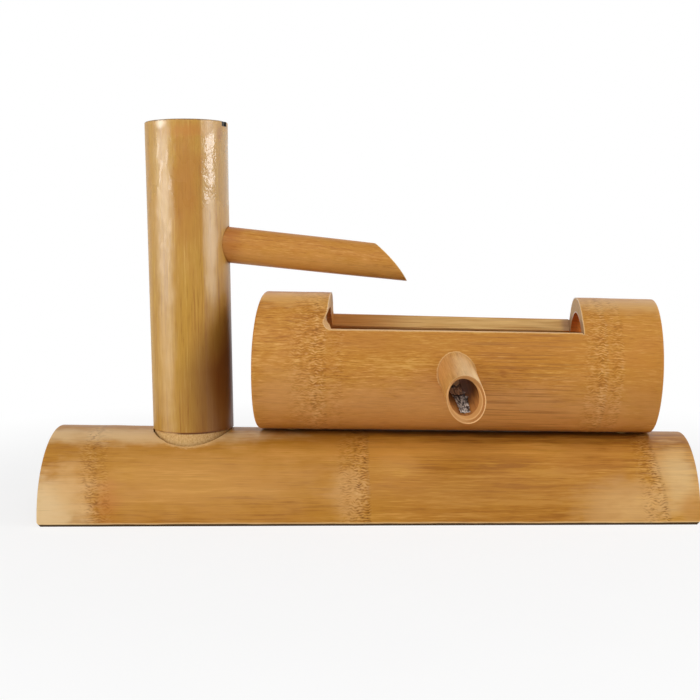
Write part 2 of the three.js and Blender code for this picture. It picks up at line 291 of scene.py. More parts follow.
PEG_PLACES = (
    TROUGH_LEFT + (TROUGH_NODE_INSETS[0] - TROUGH_PARTITION / 2) / 2,
    TROUGH_LEFT + TROUGH_LENGTH - (TROUGH_NODE_INSETS[1] - TROUGH_PARTITION / 2) / 2,
)


def trough_radius(x):
    return TROUGH_RADIUS - TROUGH_SLOPE * x


def post_radius(x):
    return between((POST_RADIUS_SHOULDER, POST_RADIUS_TOP), max(x, 0.0) / POST_HEIGHT)


def spout_radius(x):
    share = (x - SPOUT_ROOT) / (SPOUT_REACH - SPOUT_ROOT)
    return between((SPOUT_RADIUS_ROOT, SPOUT_RADIUS_TIP), share)


# Meshes from lists of rings. A shell is a list of points in millimetres with a list of faces.


def steps(start, end, step):
    """Values from start to end, both included, no further apart than step."""
    count = max(1, math.ceil(abs(end - start) / step))
    return [start + (end - start) * i / count for i in range(count + 1)]


def bands(rings):
    """Faces between each two neighbouring rings of points."""
    faces = []
    for low, high in zip(rings, rings[1:]):
        for i in range(len(low)):
            j = (i + 1) % len(low)
            faces.append(tuple(dict.fromkeys((low[i], low[j], high[j], high[i]))))
    return faces


def grid_faces(rows, columns):
    """Faces of a grid whose points are listed row by row."""
    side = columns + 1
    corners = (row * side + column for row in range(rows) for column in range(columns))
    return [(a, a + 1, a + side + 1, a + side) for a in corners]


def revolve(profile, sides, closed=False):
    """Shell of a surface round the X axis, from (x, radius) pairs."""
    angles = np.linspace(0, 2 * math.pi, sides, endpoint=False)
    verts, rings = [], []
    for x, radius in profile:
        start = len(verts)
        if radius < 1e-6:
            verts.append((x, 0.0, 0.0))
            rings.append([start] * sides)
        else:
            verts.extend((x, radius * math.cos(a), radius * math.sin(a)) for a in angles)
            rings.append(list(range(start, start + sides)))
    return verts, bands(rings + rings[:1] if closed else rings)


def outward(shell, inward=False):
    """The shell, with its faces turned so that its inside is on the wanted side."""
    verts, faces = shell
    points = np.array(verts)
    corners = [(face[0], face[i], face[i + 1]) for face in faces for i in range(1, len(face) - 1)]
    a, b, c = (points[column] for column in np.array(corners).T)
    volume = np.einsum("ij,ij->", a, np.cross(b, c))
    return verts, [face[::-1] for face in faces] if (volume > 0) == inward else faces


def joined(shells):
    verts, faces = [], []
    for shell_verts, shell_faces in shells:
        start = len(verts)
        verts.extend(shell_verts)
        faces.extend(tuple(start + i for i in face) for face in shell_faces)
    return verts, faces


def new_object(name, data):
    result = bpy.data.objects.new(name, data)
    bpy.context.scene.collection.objects.link(result)
    return result


def new_piece(name, shell, place):
    """A mesh object from a closed shell. place is in metres."""
    verts, faces = outward(shell)
    mesh = bpy.data.meshes.new(name)
    mesh.from_pydata([(x * MM, y * MM, z * MM) for x, y, z in verts], [], faces)
    mesh.validate()
    piece = new_object(name, mesh)
    piece.matrix_world = place
    return piece


def rounded(corner_x, corner_r, radius, side):
    """Points of a quarter round that ends a bar. side is -1 at its start and 1 at its end."""
    points = []
    for i in range(ROUND_STEPS + 1):
        angle = math.pi / 2 * i / ROUND_STEPS
        x = corner_x - side * radius * (1 - math.sin(angle))
        points.append((x, corner_r - radius * (1 - math.cos(angle))))
    return points if side > 0 else points[::-1]


def bar(start, end, radius, sides):
    """A plain round bar along X."""
    return revolve([(start, 0.0), (start, radius), (end, radius), (end, 0.0)], sides)


def block(size, place):
    """A box of the given sides, with its middle at place."""
    signs = [(x, y, z) for z in (-1, 1) for x, y in ((-1, -1), (1, -1), (1, 1), (-1, 1))]
    verts = [tuple(place[i] + sign[i] * size[i] / 2 for i in range(3)) for sign in signs]
    faces = [(0, 3, 2, 1), (4, 5, 6, 7), (0, 1, 5, 4), (1, 2, 6, 5), (2, 3, 7, 6), (3, 0, 4, 7)]
    return verts, faces


def turned(shell, matrix, shift=0.0):
    """The shell, turned by the matrix and then moved along X."""
    verts, faces = shell
    moved = (matrix @ Vector(point) for point in verts)
    return [(shift + point.x, point.y, point.z) for point in moved], faces


def in_millimetres(matrix):
    result = matrix.copy()
    result.translation = matrix.translation / MM
    return result


def cut(piece, shells):
    """Takes the closed shells, in the piece's own frame, out of the piece."""
    cutters = []
    for shell in shells:
        cutter = new_piece("cutter", shell, piece.matrix_world)
        modifier = piece.modifiers.new("cut", "BOOLEAN")
        modifier.operation = "DIFFERENCE"
        modifier.solver = "MANIFOLD"
        modifier.object = cutter
        cutters.append(cutter)
    bpy.context.view_layer.update()
    depsgraph = bpy.context.evaluated_depsgraph_get()
    result = bpy.data.meshes.new_from_object(piece.evaluated_get(depsgraph))
    piece.modifiers.clear()
    result.materials.clear()
    result.name = piece.name
    piece.data = result
    for cutter in cutters:
        bpy.data.objects.remove(cutter)


def read(items, name, width, kind=float):
    """An array of one property of a mesh's points, edges or faces."""
    flat = np.empty(len(items) * width, kind)
    items.foreach_get(name, flat)
    return flat.reshape(-1, width)


def points_of(mesh):
    return read(mesh.vertices, "co", 3) / MM


def mark_zones(piece, outer, inner, partitions=(), tolerance=0.75, steepest=2.0):
    """Gives each face the material of a skin, a sawn cut or a hollow, from where it lies on its culm."""
    faces = piece.data.polygons
    centres, normals = read(faces, "center", 3) / MM, read(faces, "normal", 3)
    x, radius = centres[:, 0], np.hypot(centres[:, 1], centres[:, 2])
    facing = (normals[:, 1] * centres[:, 1] + normals[:, 2] * centres[:, 2]) / np.maximum(radius, 1e-6)
    outside = np.array([outer(v) for v in x])
    inside = np.array([inner(v) for v in x])
    zones = np.full(len(faces), CUT)
    level = np.abs(normals[:, 0]) < steepest
    zones[level & (facing > 0.3) & (radius > outside - tolerance)] = SKIN
    zones[level & (facing < -0.2) & (np.abs(radius - inside) < tolerance)] = BORE
    within = radius < inside + tolerance
    for place, reach in partitions:
        distance = np.abs(x - place)
        zones[within & (distance < reach) & (np.abs(normals[:, 0]) > 0.25)] = BORE
        zones[within & (distance < reach + FILLET) & (facing < -0.05)] = BORE
    faces.foreach_set("material_index", zones.astype(np.int32))


def mark_edges(piece):
    """Shades the piece smooth between its sharp edges, and keeps each point's distance to them."""
    mesh = piece.data
    mesh.shade_smooth()
    mesh.set_sharp_from_angle(angle=SHARP_ANGLE)
    sharp = mesh.attributes.get("sharp_edge")
    flags = np.zeros(len(mesh.edges), bool)
    if sharp is not None:
        flags = read(sharp.data, "value", 1, bool)[:, 0]
    points = points_of(mesh)
    samples = []
    for a, b in read(mesh.edges, "vertices", 2, int)[flags]:
        length = np.linalg.norm(points[b] - points[a])
        for share in np.linspace(0, 1, max(2, int(length / EDGE_SPACING) + 1)):
            samples.append(points[a] + share * (points[b] - points[a]))
    tree = kdtree.KDTree(len(samples))
    for i, sample in enumerate(samples):
        tree.insert(sample, i)
    tree.balance()
    distances = np.full(len(points), EDGE_REACH)
    if samples:
        for i, point in enumerate(points):
            distances[i] = min(EDGE_REACH, tree.find(point)[2])
    attribute = mesh.attributes.new("edge_distance", "FLOAT", "POINT")
    attribute.data.foreach_set("value", distances.astype(np.float32))


def grow(piece, outer, nodes, seed, keep):
    """Makes a culm a little out of round and swells its nodes. At the angle keep its skin stays inside its
    true circle."""
    points = points_of(piece.data)
    x, angle = points[:, 0], np.arctan2(points[:, 2], points[:, 1]) - keep
    radius = np.hypot(points[:, 1], points[:, 2])
    outside = np.array([outer(v) for v in x])
    weight = np.clip((radius - outside + CULM_RIND) / 2.0, 0, 1)
    shift = -CULM_OVAL * np.cos(2 * angle) - 0.6 * CULM_OVAL * np.cos(3 * angle + x / 70 + seed)
    shift += 0.4 * CULM_OVAL * np.sin(5 * angle + x / 31 + 2 * seed)
    for node in nodes:
        shift += NODE_SWELLING * np.exp(-(((x - node) / NODE_SWELLING_REACH) ** 2))
    points[:, 1:] *= (1 + weight * shift / np.maximum(radius, 1.0))[:, None]
    piece.data.vertices.foreach_set("co", (points * MM).ravel())
    piece.data.update()


def log_shell(start, end, nodes, outer, inner, partition, edge):
    """A culm that is open up to its first and last partitions, with a closed chamber between each two."""
    def face_of(node, side):
        x = node + side * partition / 2
        flat = inner(x) - FILLET
        disc = [(x + DISH * (1 - (r / flat) ** 2), r) for r in steps(0.0, flat, FACE_STEP)]
        turns = [math.pi / 2 * i / ROUND_STEPS for i in range(1, ROUND_STEPS + 1)]
        return disc + [(x + side * FILLET * (1 - math.cos(a)), flat + FILLET * math.sin(a)) for a in turns]

    def bore(low, high):
        return [(x, inner(x)) for x in steps(low, high, BORE_STEP)]

    first, last, clear = nodes[0], nodes[-1], partition / 2 + FILLET
    skin = [(x, outer(x)) for x in steps(start + edge, end - edge, SKIN_STEP)]
    profile = face_of(first, -1) + bore(first - clear, start)[1:]
    profile += rounded(start, outer(start), edge, -1) + skin[1:-1] + rounded(end, outer(end), edge, 1)
    profile += bore(end, last + clear)[:-1] + face_of(last, 1)[::-1]
    shells = [outward(revolve(profile, CULM_SIDES))]
    for low, high in zip(nodes, nodes[1:]):
        chamber = face_of(low, 1) + bore(low + clear, high - clear)[1:-1] + face_of(high, -1)[::-1]
        shells.append(outward(revolve(chamber, CULM_SIDES), inward=True))
    return joined(shells)


def settle(piece):
    """Moves the mesh to where the piece is, and keeps each point's place in the piece's own frame."""
    mesh = piece.data
    attribute = mesh.attributes.new("own_place", "FLOAT_VECTOR", "POINT")
    attribute.data.foreach_set("vector", points_of(mesh).ravel().astype(np.float32))
    mesh.transform(piece.matrix_world)
    piece.matrix_world = Matrix.Identity(4)


def finished(piece, body, node, slot, *materials):
    mark_edges(piece)
    settle(piece)
    for material in materials:
        piece.data.materials.append(material)
    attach(piece, body)
    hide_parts(node)


# Procedural materials. Colours are display colours from 0 to 255.


def linear(colour):
    """The display colour as the linear colour that shaders take."""
    def channel(value):
        value /= 255
        return value / 12.92 if value <= 0.04045 else ((value + 0.055) / 1.055) ** 2.4

    return (*(channel(value) for value in colour), 1.0)


class Value:
    """What a shader node gives out: a number, a point or a colour."""

    def __init__(self, shader, socket):
        self.shader = shader
        self.socket = socket

    def __add__(self, other):
        return self.shader.math("ADD", self, other)

    def __sub__(self, other):
        return self.shader.math("SUBTRACT", self, other)

    def __rsub__(self, other):
        return self.shader.math("SUBTRACT", other, self)

    def __mul__(self, other):
        return self.shader.math("MULTIPLY", self, other)

    def __abs__(self):
        return self.shader.math("ABSOLUTE", self)

    __radd__ = __add__

    def around(self, amount):
        """The noise, moved to lie round zero, times amount."""
        return (self - 0.5) * amount

    def range(self, low, high, to_low=0, to_high=1, smooth=True):
        """to_low where this is low, and to_high where it is high."""
        values = {0: self, 1: low, 2: high, 3: to_low, 4: to_high}
        kind = "SMOOTHSTEP" if smooth else "LINEAR"
        return self.shader.add("ShaderNodeMapRange", values, interpolation_type=kind)

    def ramp(self, low, high):
        """The colour low where this is 0, and high where it is 1."""
        return self.shader.mix(self, low, high)

    def toward(self, tone, share):
        """This colour, moved towards another one by share."""
        return self.shader.mix(share, self, tone)


class Shader:
    """Adds nodes to a new material, or to a new world."""

    def __init__(self, name, world=False):
        library = bpy.data.worlds if world else bpy.data.materials
        self.made = library.new(name)
        self.made.use_nodes = True
        self.tree = self.made.node_tree
        self.tree.nodes.clear()

    def add(self, kind, values, output=0, **settings):
        """What a new node gives out, from what its inputs take."""
        node = self.tree.nodes.new(kind)
        for key, value in settings.items():
            setattr(node, key, value)
        for key, value in values.items():
            if isinstance(value, Value):
                self.tree.links.new(value.socket, node.inputs[key])
            elif value is not None:
                node.inputs[key].default_value = value
        return Value(self, node.outputs[output]) if node.outputs else None

    def math(self, operation, a, b=None):
        return self.add("ShaderNodeMath", {0: a, 1: b}, operation=operation)

    def vector(self, operation, a, b=None, output=0):
        return self.add("ShaderNodeVectorMath", {0: a, 1: b}, output, operation=operation)

    def length(self, point):
        return self.vector("LENGTH", point, output="Value")

    def parts(self, point):
        node = self.add("ShaderNodeSeparateXYZ", {0: point}).socket.node
        return [Value(self, socket) for socket in node.outputs]

    def whole(self, x, y, z):
        return self.add("ShaderNodeCombineXYZ", {0: x, 1: y, 2: z})

    def attribute(self, name, output="Fac"):
        return self.add("ShaderNodeAttribute", {}, output, attribute_name=name)

    def own_mm(self):
        """The point in the piece's own frame, in millimetres."""
        return self.attribute("own_place", "Vector")

    def noise(self, point, along, across, detail=2, roughness=0.5, distortion=0):
        """Noise in patches about along millimetres long and across millimetres wide."""
        values = {
            "Vector": self.vector("DIVIDE", point, (along, across, across)),
            "Scale": 1,
            "Detail": detail,
            "Roughness": roughness,
            "Distortion": distortion,
        }
        return self.add("ShaderNodeTexNoise", values, "Fac")

    def cells(self, point, along, across):
        """Distance to the middle of cells of the given size."""
        values = {"Vector": self.vector("DIVIDE", point, (along, across, across)), "Scale": 1}
        return self.add("ShaderNodeTexVoronoi", values, "Distance")

    def mix(self, share, a, b):
        a, b = (tone if isinstance(tone, Value) else linear(tone) for tone in (a, b))
        return self.add("ShaderNodeMix", {0: share, 6: a, 7: b}, 2, data_type="RGBA", clamp_factor=True)

    def times(self, colour, factors):
        """The colour with each channel times its factor."""
        values = {0: 1, 6: colour, 7: factors}
        return self.add("ShaderNodeMix", values, 2, data_type="RGBA", blend_type="MULTIPLY")

    def seen(self):
        """1 for what the camera sees, straight or in a reflection, and 0 for the light on the object."""
        result = self.add("ShaderNodeLightPath", {}, "Is Camera Ray")
        for ray in ("Is Glossy Ray", "Is Transmission Ray"):
            result = self.math("MAXIMUM", result, self.add("ShaderNodeLightPath", {}, ray))
        return result

    def bump(self, height, strength, distance_mm, normal=None):
        values = {"Height": height, "Strength": strength, "Distance": distance_mm * MM, "Normal": normal}
        return self.add("ShaderNodeBump", values)

    def finish(self, colour, roughness, normal, specular, coat=0, coat_roughness=0.2, coat_normal=None,
               coat_ior=1.5):
        values = {
            "Base Color": colour,
            "Roughness": roughness,
            "Normal": normal,
            "Specular IOR Level": specular,
            "Coat Weight": coat,
            "Coat Roughness": coat_roughness,
            "Coat Normal": coat_normal,
            "Coat IOR": coat_ior,
        }
        surface = self.add("ShaderNodeBsdfPrincipled", values)
        self.add("ShaderNodeOutputMaterial", {"Surface": surface})
        return self.made


def with_stains_and_painted_light(shader, colour, place, stains_and_painted_light):
    """Soft patches of another tone, some of them painted light and shade. Each patch is (middle, half
    length, half width, colour, share).
    """
    flames = shader.noise(place, 18, 2.8, roughness=0.55).around(0.7)
    ragged = shader.noise(place, 12, 9).around(1.2) + flames
    for middle, half_length, half_width, tone, share in stains_and_painted_light:
        offset = shader.vector("SUBTRACT", place, middle)
        scaled = shader.vector("DIVIDE", offset, (half_length, half_width, half_width))
        inside = (shader.length(scaled) + ragged).range(0.3, 1.5, share, 0)
        colour = colour.toward(tone, inside)
    return colour


def bent_across(shader, place, radius, along, across, reach):
    """The point moved round the culm by up to reach, in waves of the given size."""
    x, y, z = shader.parts(place)
    shift = shader.noise(place, along, across, detail=1).around(2 * reach / radius)
    return shader.whole(x, y - z * shift, z + y * shift)


def with_figure(shader, colour, place, rings, radius, shares):
    """The wavy figure of fibres that cross in a node. Each ring is (place at mid height, slope with height,
    reach before, reach after, strength, darker line), and shares is how strong dark and light strokes are.
    Returns the colour and the strokes for the relief."""
    x, y, z = shader.parts(place)
    strokes_round = round(2 * math.pi * radius / STROKE_PITCH)
    angle = shader.math("ARCTAN2", z, y)
    bend = shader.noise(place, 4.6, 5.6, detail=1).around(4 * math.pi * STROKE_BEND / STROKE_PITCH)
    waves = shader.math("SINE", angle * strokes_round + bend)
    broken = shader.noise(place, 3.2, 2.4).range(0.32, 0.58, 0.15, 1)
    bent = bent_across(shader, place, radius, 2.7, 4.6, 2.2)
    short = shader.noise(bent, 3, 1.6, detail=1)
    strokes = waves * broken * 0.3 + short.around(1.5) + shader.noise(place, 6, 6).around(0.8)
    wobble = shader.noise(place, 60, 4.5, detail=3, roughness=0.6).around(4)
    windows, lines = [], []
    for middle, slope, before, after, strength, line in rings:
        offset = x - (z * slope + middle) + wobble
        rise = offset.range(-before, -0.2 * before, 0, strength)
        windows.append(rise * offset.range(after - 1.2, after + 1.2, 1, 0))
        if line:
            lines.append(abs(offset - (after - 0.8)).range(0.3, 1.6, line, 0))
    strokes = strokes * sum(windows)
    dark = strokes.range(0, -0.55, smooth=False) * shares[0]
    light = strokes.range(-0.05, 0.55, smooth=False) * shares[1]
    colour = colour.toward((112, 64, 22), dark).toward((230, 188, 126), light)
    return colour.toward((98, 54, 20), sum(lines) * short.range(0.4, 0.62)), strokes


def with_long_lines(shader, colour, wavy, x, bands, start, end, strength):
    """Long dark fibres between start and end along the culm."""
    x = x + bands.around(50)
    stretch = x.range(start - 15, start + 15) * x.range(end - 15, end + 15, 1, 0)
    fibres = shader.noise(wavy, 60, 1.1, detail=1).range(0.5, 0.64)
    return colour.toward((136, 78, 32), fibres * stretch * strength)


def bamboo_skin(name, deep, middle, pale, radius, seed, stains_and_painted_light=(), rings=(), roughness=0.42, specular=0.3,
                raw=(226, 188, 128), edge_share=1.0, grain=(0.8, 0.7, 0.9, 0.8), run=1.0, growth=(0.0, 1.0, 1.0),
                shares=(0.54, 0.42), lines=None, finish=None):
    """Sanded and varnished outside of a culm, with fibres along X and the figure of its nodes. deep, middle
    and pale are its tones, and raw is the colour near its sharp edges, mixed in by edge_share: rubbed raw
    wood, and where raw is lighter also a painted highlight of the rounded edges. grain is how strong
    patches, bands, streaks and fibres are, and run is their length as a share of the usual one. growth is
    where their change in strength starts and ends, and its factor. lines is the stretch with long dark
    fibres, and how strong they are. finish changes the colour and the coat at the end."""
    shader = Shader(name)
    here = shader.own_mm()
    x = shader.parts(here)[0]
    place, wavy = (
        shader.vector("ADD", point, (seed, 2 * seed, 0))
        for point in (here, bent_across(shader, here, radius, 60, 20, 0.7))
    )
    patches = shader.noise(place, 70, 22, detail=3)
    bands = shader.noise(wavy, 170 * run, 4.2, roughness=0.6)
    streaks = shader.noise(wavy, 46 * run, 1.25, detail=3, roughness=0.62)
    fibres = shader.noise(wavy, 13 * run, 0.8, roughness=0.65)
    layers = zip((patches, bands, streaks, fibres), grain)
    change = x.range(growth[0], growth[1], 1, growth[2])
    tone = sum(layer.around(amount) for layer, amount in layers) * change + 0.5
    colour = tone.range(0.05, 0.5).ramp(deep, middle).toward(pale, tone.range(0.5, 1))

    hue = shader.noise(wavy, 40 * run, 8).range(0.4, 0.62)
    pinkish = shader.times(colour, (1.04, 0.96, 1.35, 1.0))
    golden = shader.times(colour, (0.99, 1.0, 0.66, 1.0))
    colour = colour.toward(hue.ramp(golden, pinkish), 0.2)
    if stains_and_painted_light:
        colour = with_stains_and_painted_light(shader, colour, here, stains_and_painted_light)
    hairs = shader.noise(wavy, 40 * run, 0.45, detail=1).range(0.6, 0.76)
    colour = colour.toward((112, 66, 26), hairs * (0.2 * grain[2]))
    if lines:
        colour = with_long_lines(shader, colour, wavy, x, bands, *lines)
    height = fibres * 0.5 + streaks * 0.8
    if rings:
        colour, strokes = with_figure(shader, colour, here, rings, radius, shares)
        height = height + strokes * 0.4

    # Near sharp edges the colour goes to raw: rubbed raw wood, and where raw is lighter a painted highlight.
    ragged = shader.noise(place, 2.2, 0.8) * 0.9
    edge_mix = (shader.attribute("edge_distance") + ragged).range(0.55, 1.3, 0.75 * edge_share, 0)
    colour = colour.toward(raw, edge_mix)
    normal = shader.bump(height, 0.35, 0.10)
    gloss = (streaks + patches).range(0.7, 1.3, roughness - 0.07, roughness + 0.07)
    if finish:
        return finish(shader, here, place, colour, gloss, normal, specular)
    return shader.finish(colour, gloss, normal, specular)


def base_finish(shader, here, place, colour, roughness, normal, specular):
    """Frayed fibres in front of the post's hole, a pale line along the foot that is partly a rubbed edge and
    partly a painted highlight, and a painted contact shadow below it.
    """
    x, y, z = shader.parts(here)
    from_post = shader.length(shader.whole(x - POST_X, y, 0))
    reach = from_post + shader.noise(place, 3.2, 0.9, roughness=0.6).around(7)
    brim = TENON_RADIUS + SEAT_GAP + HOLE_FLARE + HOLE_SCOOP
    colour = colour.toward((214, 172, 114), reach.range(brim, brim + 1.8, 0.7, 0) * y.range(-21, -25))
    height = z + shader.noise(place, 22, 3).around(0.8)
    # Painted contact shadow: a dark band along the foot, which is also rougher.
    foot_shadow = height.range(1.5, 1.15)
    # A pale line above it: partly a rubbed raw edge and partly a painted highlight.
    colour = colour.toward((226, 190, 134), height.range(2.3, 1.9) * 0.55)
    colour = colour.toward((40, 22, 9), foot_shadow * 0.94)
    return shader.finish(colour, shader.math("MAXIMUM", roughness, foot_shadow * 0.8), normal, specular)


def post_finish(shader, here, place, colour, roughness, normal, specular):
    """Thick, uneven varnish on the post, a dark rim, a painted shadow of the trough on its low right side,
    and a bare, rough foot with a painted shadow line under the shoulder."""
    x, y, z = shader.parts(here)
    across = shader.noise(place, 30, 9)
    rim = x + shader.noise(place, 30, 2.5).around(1.2)
    colour = colour.toward((86, 58, 28), rim.range(POST_HEIGHT - 0.9, POST_HEIGHT - 0.4, 0, 0.75))

    # Painted shadow of the trough on the post's low right side; the coat is thinner there too.
    onset = shader.math("MAXIMUM", x - 38, 0) * 0.44
    depth = y + across.around(3) - onset
    trough_shadow = depth.range(-6.5, 19, 0, 0.9, smooth=False) * x.range(4, 40, 0.88, 1)
    colour = colour.toward((106, 52, 18), trough_shadow)

    bare = x.range(0.1, -0.2)
    fuzz = shader.noise(place, 1.3, 0.9, detail=3, roughness=0.7)
    colour = colour.toward(fuzz.range(0.3, 0.7).ramp((198, 152, 90), (226, 190, 132)), bare * 0.85)
    # Painted shadow line under the shoulder, stronger in front and on the right.
    line = abs(x + 0.35).range(0.25, 0.7, 1, 0) * z.range(-26, 8, 0.95, 0.25)
    line = line * y.range(-9, -2, 0.15, 1) * across.range(0.3, 0.5, 0.6, 1)
    colour = colour.toward((104, 54, 22), line)

    sags = shader.noise(place, 9, 5, detail=0.5, roughness=0.4)
    ripples = shader.noise(place, 4, 2.6, detail=1)
    pores = shader.noise(place, 1.6, 1.1, detail=1)
    lumps = sags * y.range(-4, 10, 1, 0.25) + ripples * 0.1 + pores * 0.07
    wavering = x + sags.around(16)
    glossy = wavering.range(136, 144) * wavering.range(POST_HEIGHT - 7, POST_HEIGHT - 11)
    puddles = shader.math("MAXIMUM", sags.range(0.5, 0.56, 0, 0.22), y.range(7, 11, 0, 0.27))
    thin = (y + across.around(6)).range(-10, -2.5, 0, 0.75) * y.range(13.2, 12)
    coat = (1 - bare) * (1 - thin) * y.range(-21.5, -12.5, 0.25, 1) * y.range(22.5, 25.2, 1, 0.8)
    coat = coat * (1 - trough_shadow * 0.8) * x.range(50, 130, 0.35, 1)
    normal = shader.bump(lumps, 0.3, 0.5, normal)
    return shader.finish(colour, roughness, normal, specular, coat, 0.42 - glossy * puddles,
                         shader.bump(lumps, 1, 1.5), 1.75)


def with_marks(shader, colour, waver, marks):
    """Bands of another tone in the trough's chamber, some of them painted shade. Each mark is (axis, start,
    end, colour, share): full before start, none past end."""
    here = shader.own_mm()
    places = shader.parts(here)
    inside = places[0].range(TROUGH_NODES[0] - 0.5, TROUGH_NODES[0] + 0.5)
    inside = inside * places[0].range(TROUGH_NODES[1] + 0.5, TROUGH_NODES[1] - 0.5)
    streaks = shader.noise(here, 30, 1.4, detail=3, roughness=0.6).range(0.3, 0.7, 0.82, 1.12)
    grey = shader.whole(streaks, streaks, streaks)
    for axis, start, end, tone, share in marks:
        along = places[axis] + waver.around(0.25 * abs(end - start))
        streaked = shader.times(grey, linear(tone))
        colour = colour.toward(streaked, along.range(start, end, share, 0) * inside)
    return colour


def bamboo_cut(name, outer_radius, wall, seed, light=(222, 184, 124), dark=(176, 124, 62), slope=0.0,
               glint=0.0, marks=()):
    """Sawn bamboo: pale ground with the dark bundles of its fibres, which stand closer near the skin. slope
    is how fast the culm tapers, and glint is how strong the painted highlights are: white lines along the
    edges above the sill."""
    shader = Shader(name)
    here = shader.own_mm()
    x, y, z = shader.parts(here)
    place = shader.vector("ADD", here, (seed, 0, 0))
    radius = shader.length(shader.whole(0, y, z)) + x * slope
    depth = radius.range(outer_radius - wall, outer_radius, smooth=False)
    crowding = depth.range(0.5, 0.85)
    wide = shader.cells(place, 60, 1.15).range(0.22, 0.42, 1, 0)
    fine = shader.cells(place, 60, 0.55).range(0.25, 0.5, 1, 0)
    dots = wide * (1 - crowding) + fine * crowding
    ground = shader.noise(place, 30, 2.5, detail=3)
    colour = ground.range(0.35, 0.65).ramp(light, (205, 158, 92)).toward(dark, dots * 0.75)
    colour = colour.toward((178, 116, 50), depth.range(0.9, 0.985) * 0.6)
    colour = with_marks(shader, colour, ground, marks)
    # Painted highlights: white lines along the inner and outer edges of the cut, above the sill.
    painted_glints = (abs(depth - 0.5) + ground.around(0.06)).range(0.4, 0.46, 0, glint)
    colour = colour.toward((255, 240, 228), painted_glints * z.range(*GLINT_HEIGHTS))
    normal = shader.bump(dots * -0.5 + shader.noise(place, 0.8, 6), 0.5, 0.15)
    return shader.finish(colour, 0.62, normal, 0.3)


def bamboo_hollow(name, light, dark, seed, marks=()):
    """Inside of a culm: a papery lining with fine ridges along it."""
    shader = Shader(name)
    place = shader.vector("ADD", shader.own_mm(), (seed, 0, 0))
    ridges = shader.noise(place, 40, 1.6, detail=4, roughness=0.65)
    blotches = shader.noise(place, 34, 14, detail=3)
    colour = (ridges * 0.6 + blotches * 0.6).range(0.45, 0.75).ramp(dark, light)
    colour = with_marks(shader, colour, blotches, marks)
    return shader.finish(colour, 0.6, shader.bump(ridges, 0.6, 0.25), 0.25)


# Base.

BASE_RINGS = (
    (BASE_NODES[0] + 1.9, -0.16, 12, 1.6, 0.7, 0.12),
    (BASE_NODES[0] + 6.5, -0.16, 6, 4, 0.35, 0),
    (BASE_NODES[1] + 6.5, -0.05, 8.5, 2.4, 1, 0.2),
    (BASE_NODES[1] - 1, -0.05, 13, 3, 0.6, 0),
    (BASE_NODES[2] + 8, -0.16, 6.5, 2, 1, 0.15),
    (BASE_NODES[2] - 1, -0.1, 6.5, 3.5, 0.6, 0),
)
BASE_STAINS_AND_PAINTED_LIGHT = (
    ((-186, -51, 8), 22, 24, (224, 194, 146), 0.85),
    ((-172, -46, 26), 14, 18, (202, 154, 92), 0.5),
    ((-151, -48, 14), 7, 13, (178, 104, 40), 0.55),
    ((-6, -44, 20), 11, 18, (210, 164, 104), 0.5),
    ((26, -34, 34), 14, 10, (198, 146, 78), 0.4),
    ((160, -46, 12), 28, 14, (220, 178, 118), 0.8),
    ((194, -38, 27), 13, 24, (218, 184, 130), 0.75),
    ((201, -45, 9), 8, 9, (188, 132, 62), 0.7),
    ((146, -28, 37), 26, 11, (162, 102, 38), 0.45),
    # Painted light lifting the top under the trough's overhang, then a painted shadow right under the trough.
    ((60, -27, 41), 130, 9, (204, 144, 66), 0.55),
    ((60, -3, 50), 130, 9, (90, 50, 20), 0.6),
    ((100, -44, 20), 90, 22, (160, 101, 24), 0.5),
    # Painted sheen along the top at the left.
    ((-140, -16, 50), 90, 10, (220, 186, 136), 0.8),
    ((-96, -42, 24), 80, 26, (206, 152, 84), 0.35),
)


def post_hole_shell():
    """The hole for the post's foot, in the base's frame: a close fit, then flared and scooped in front."""
    fit = TENON_RADIUS + SEAT_GAP
    flare_top = base_radius(POST_X) - HOLE_FLARE_DEPTH
    flare_foot = flare_top - HOLE_FLARE_LENGTH
    top = base_radius(BASE_LEFT) + OVERRUN
    flaring = steps(flare_foot, flare_top, WALL_STEP)[1:]
    profile = [(-OVERRUN, 0.0), (-OVERRUN, fit)]
    profile += [(z, fit) for z in steps(0.0, flare_foot, WALL_STEP)]
    profile += [(z, fit + HOLE_FLARE * (z - flare_foot) / HOLE_FLARE_LENGTH) for z in flaring]
    profile += [(z, fit + HOLE_FLARE) for z in steps(flare_top, top, WALL_STEP)[1:]]
    profile.append((top, 0.0))
    verts, faces = revolve(profile, POST_SIDES)
    moved = []
    for along, a, b in verts:
        share = clamped((along - flare_foot) / HOLE_FLARE_LENGTH)
        radius = max(math.hypot(a, b), 1.0)
        nick = HOLE_NICKS * share * rough(a * 0.45, b * 0.45, along * 0.12) if radius > 1 else 0.0
        scale = 1 + (nick + HOLE_SCOOP * share * max(-b / radius, 0.0) ** 2) / radius
        moved.append((POST_X + a * scale, b * scale, along))
    return moved, faces


def peg_hole_shell(x):
    foot = base_radius(x) - PEG_IN_BASE - SEAT_GAP
    top = base_radius(x) + SEAT_GAP + PEG_IN_TROUGH + SEAT_GAP
    verts, faces = bar(foot, top, PEG_RADIUS + SEAT_GAP, PEG_HOLE_SIDES)
    return [(x + b, c, a) for a, b, c in verts], faces


def foot_bevel_shell(side):
    """A long wedge that takes the sharp lower edge off one side of the base."""
    far = -FOOT_BEVEL_OUTSIDE
    inner, under = FOOT_BEVEL_SLIVERS
    corners = ((far, far), (far, FOOT_BEVEL), (inner, FOOT_BEVEL), (FOOT_BEVEL, under), (FOOT_BEVEL, far))
    verts = []
    for x in (BASE_LEFT - OVERRUN, BASE_RIGHT + OVERRUN):
        verts += [(x, side * (base_radius(x) - inset), height) for inset, height in corners]
    return verts, [(0, 1, 2, 3, 4), (9, 8, 7, 6, 5)] + bands([range(5), range(5, 10)])


def base_bore(x):
    return base_radius(x) - BASE_WALL


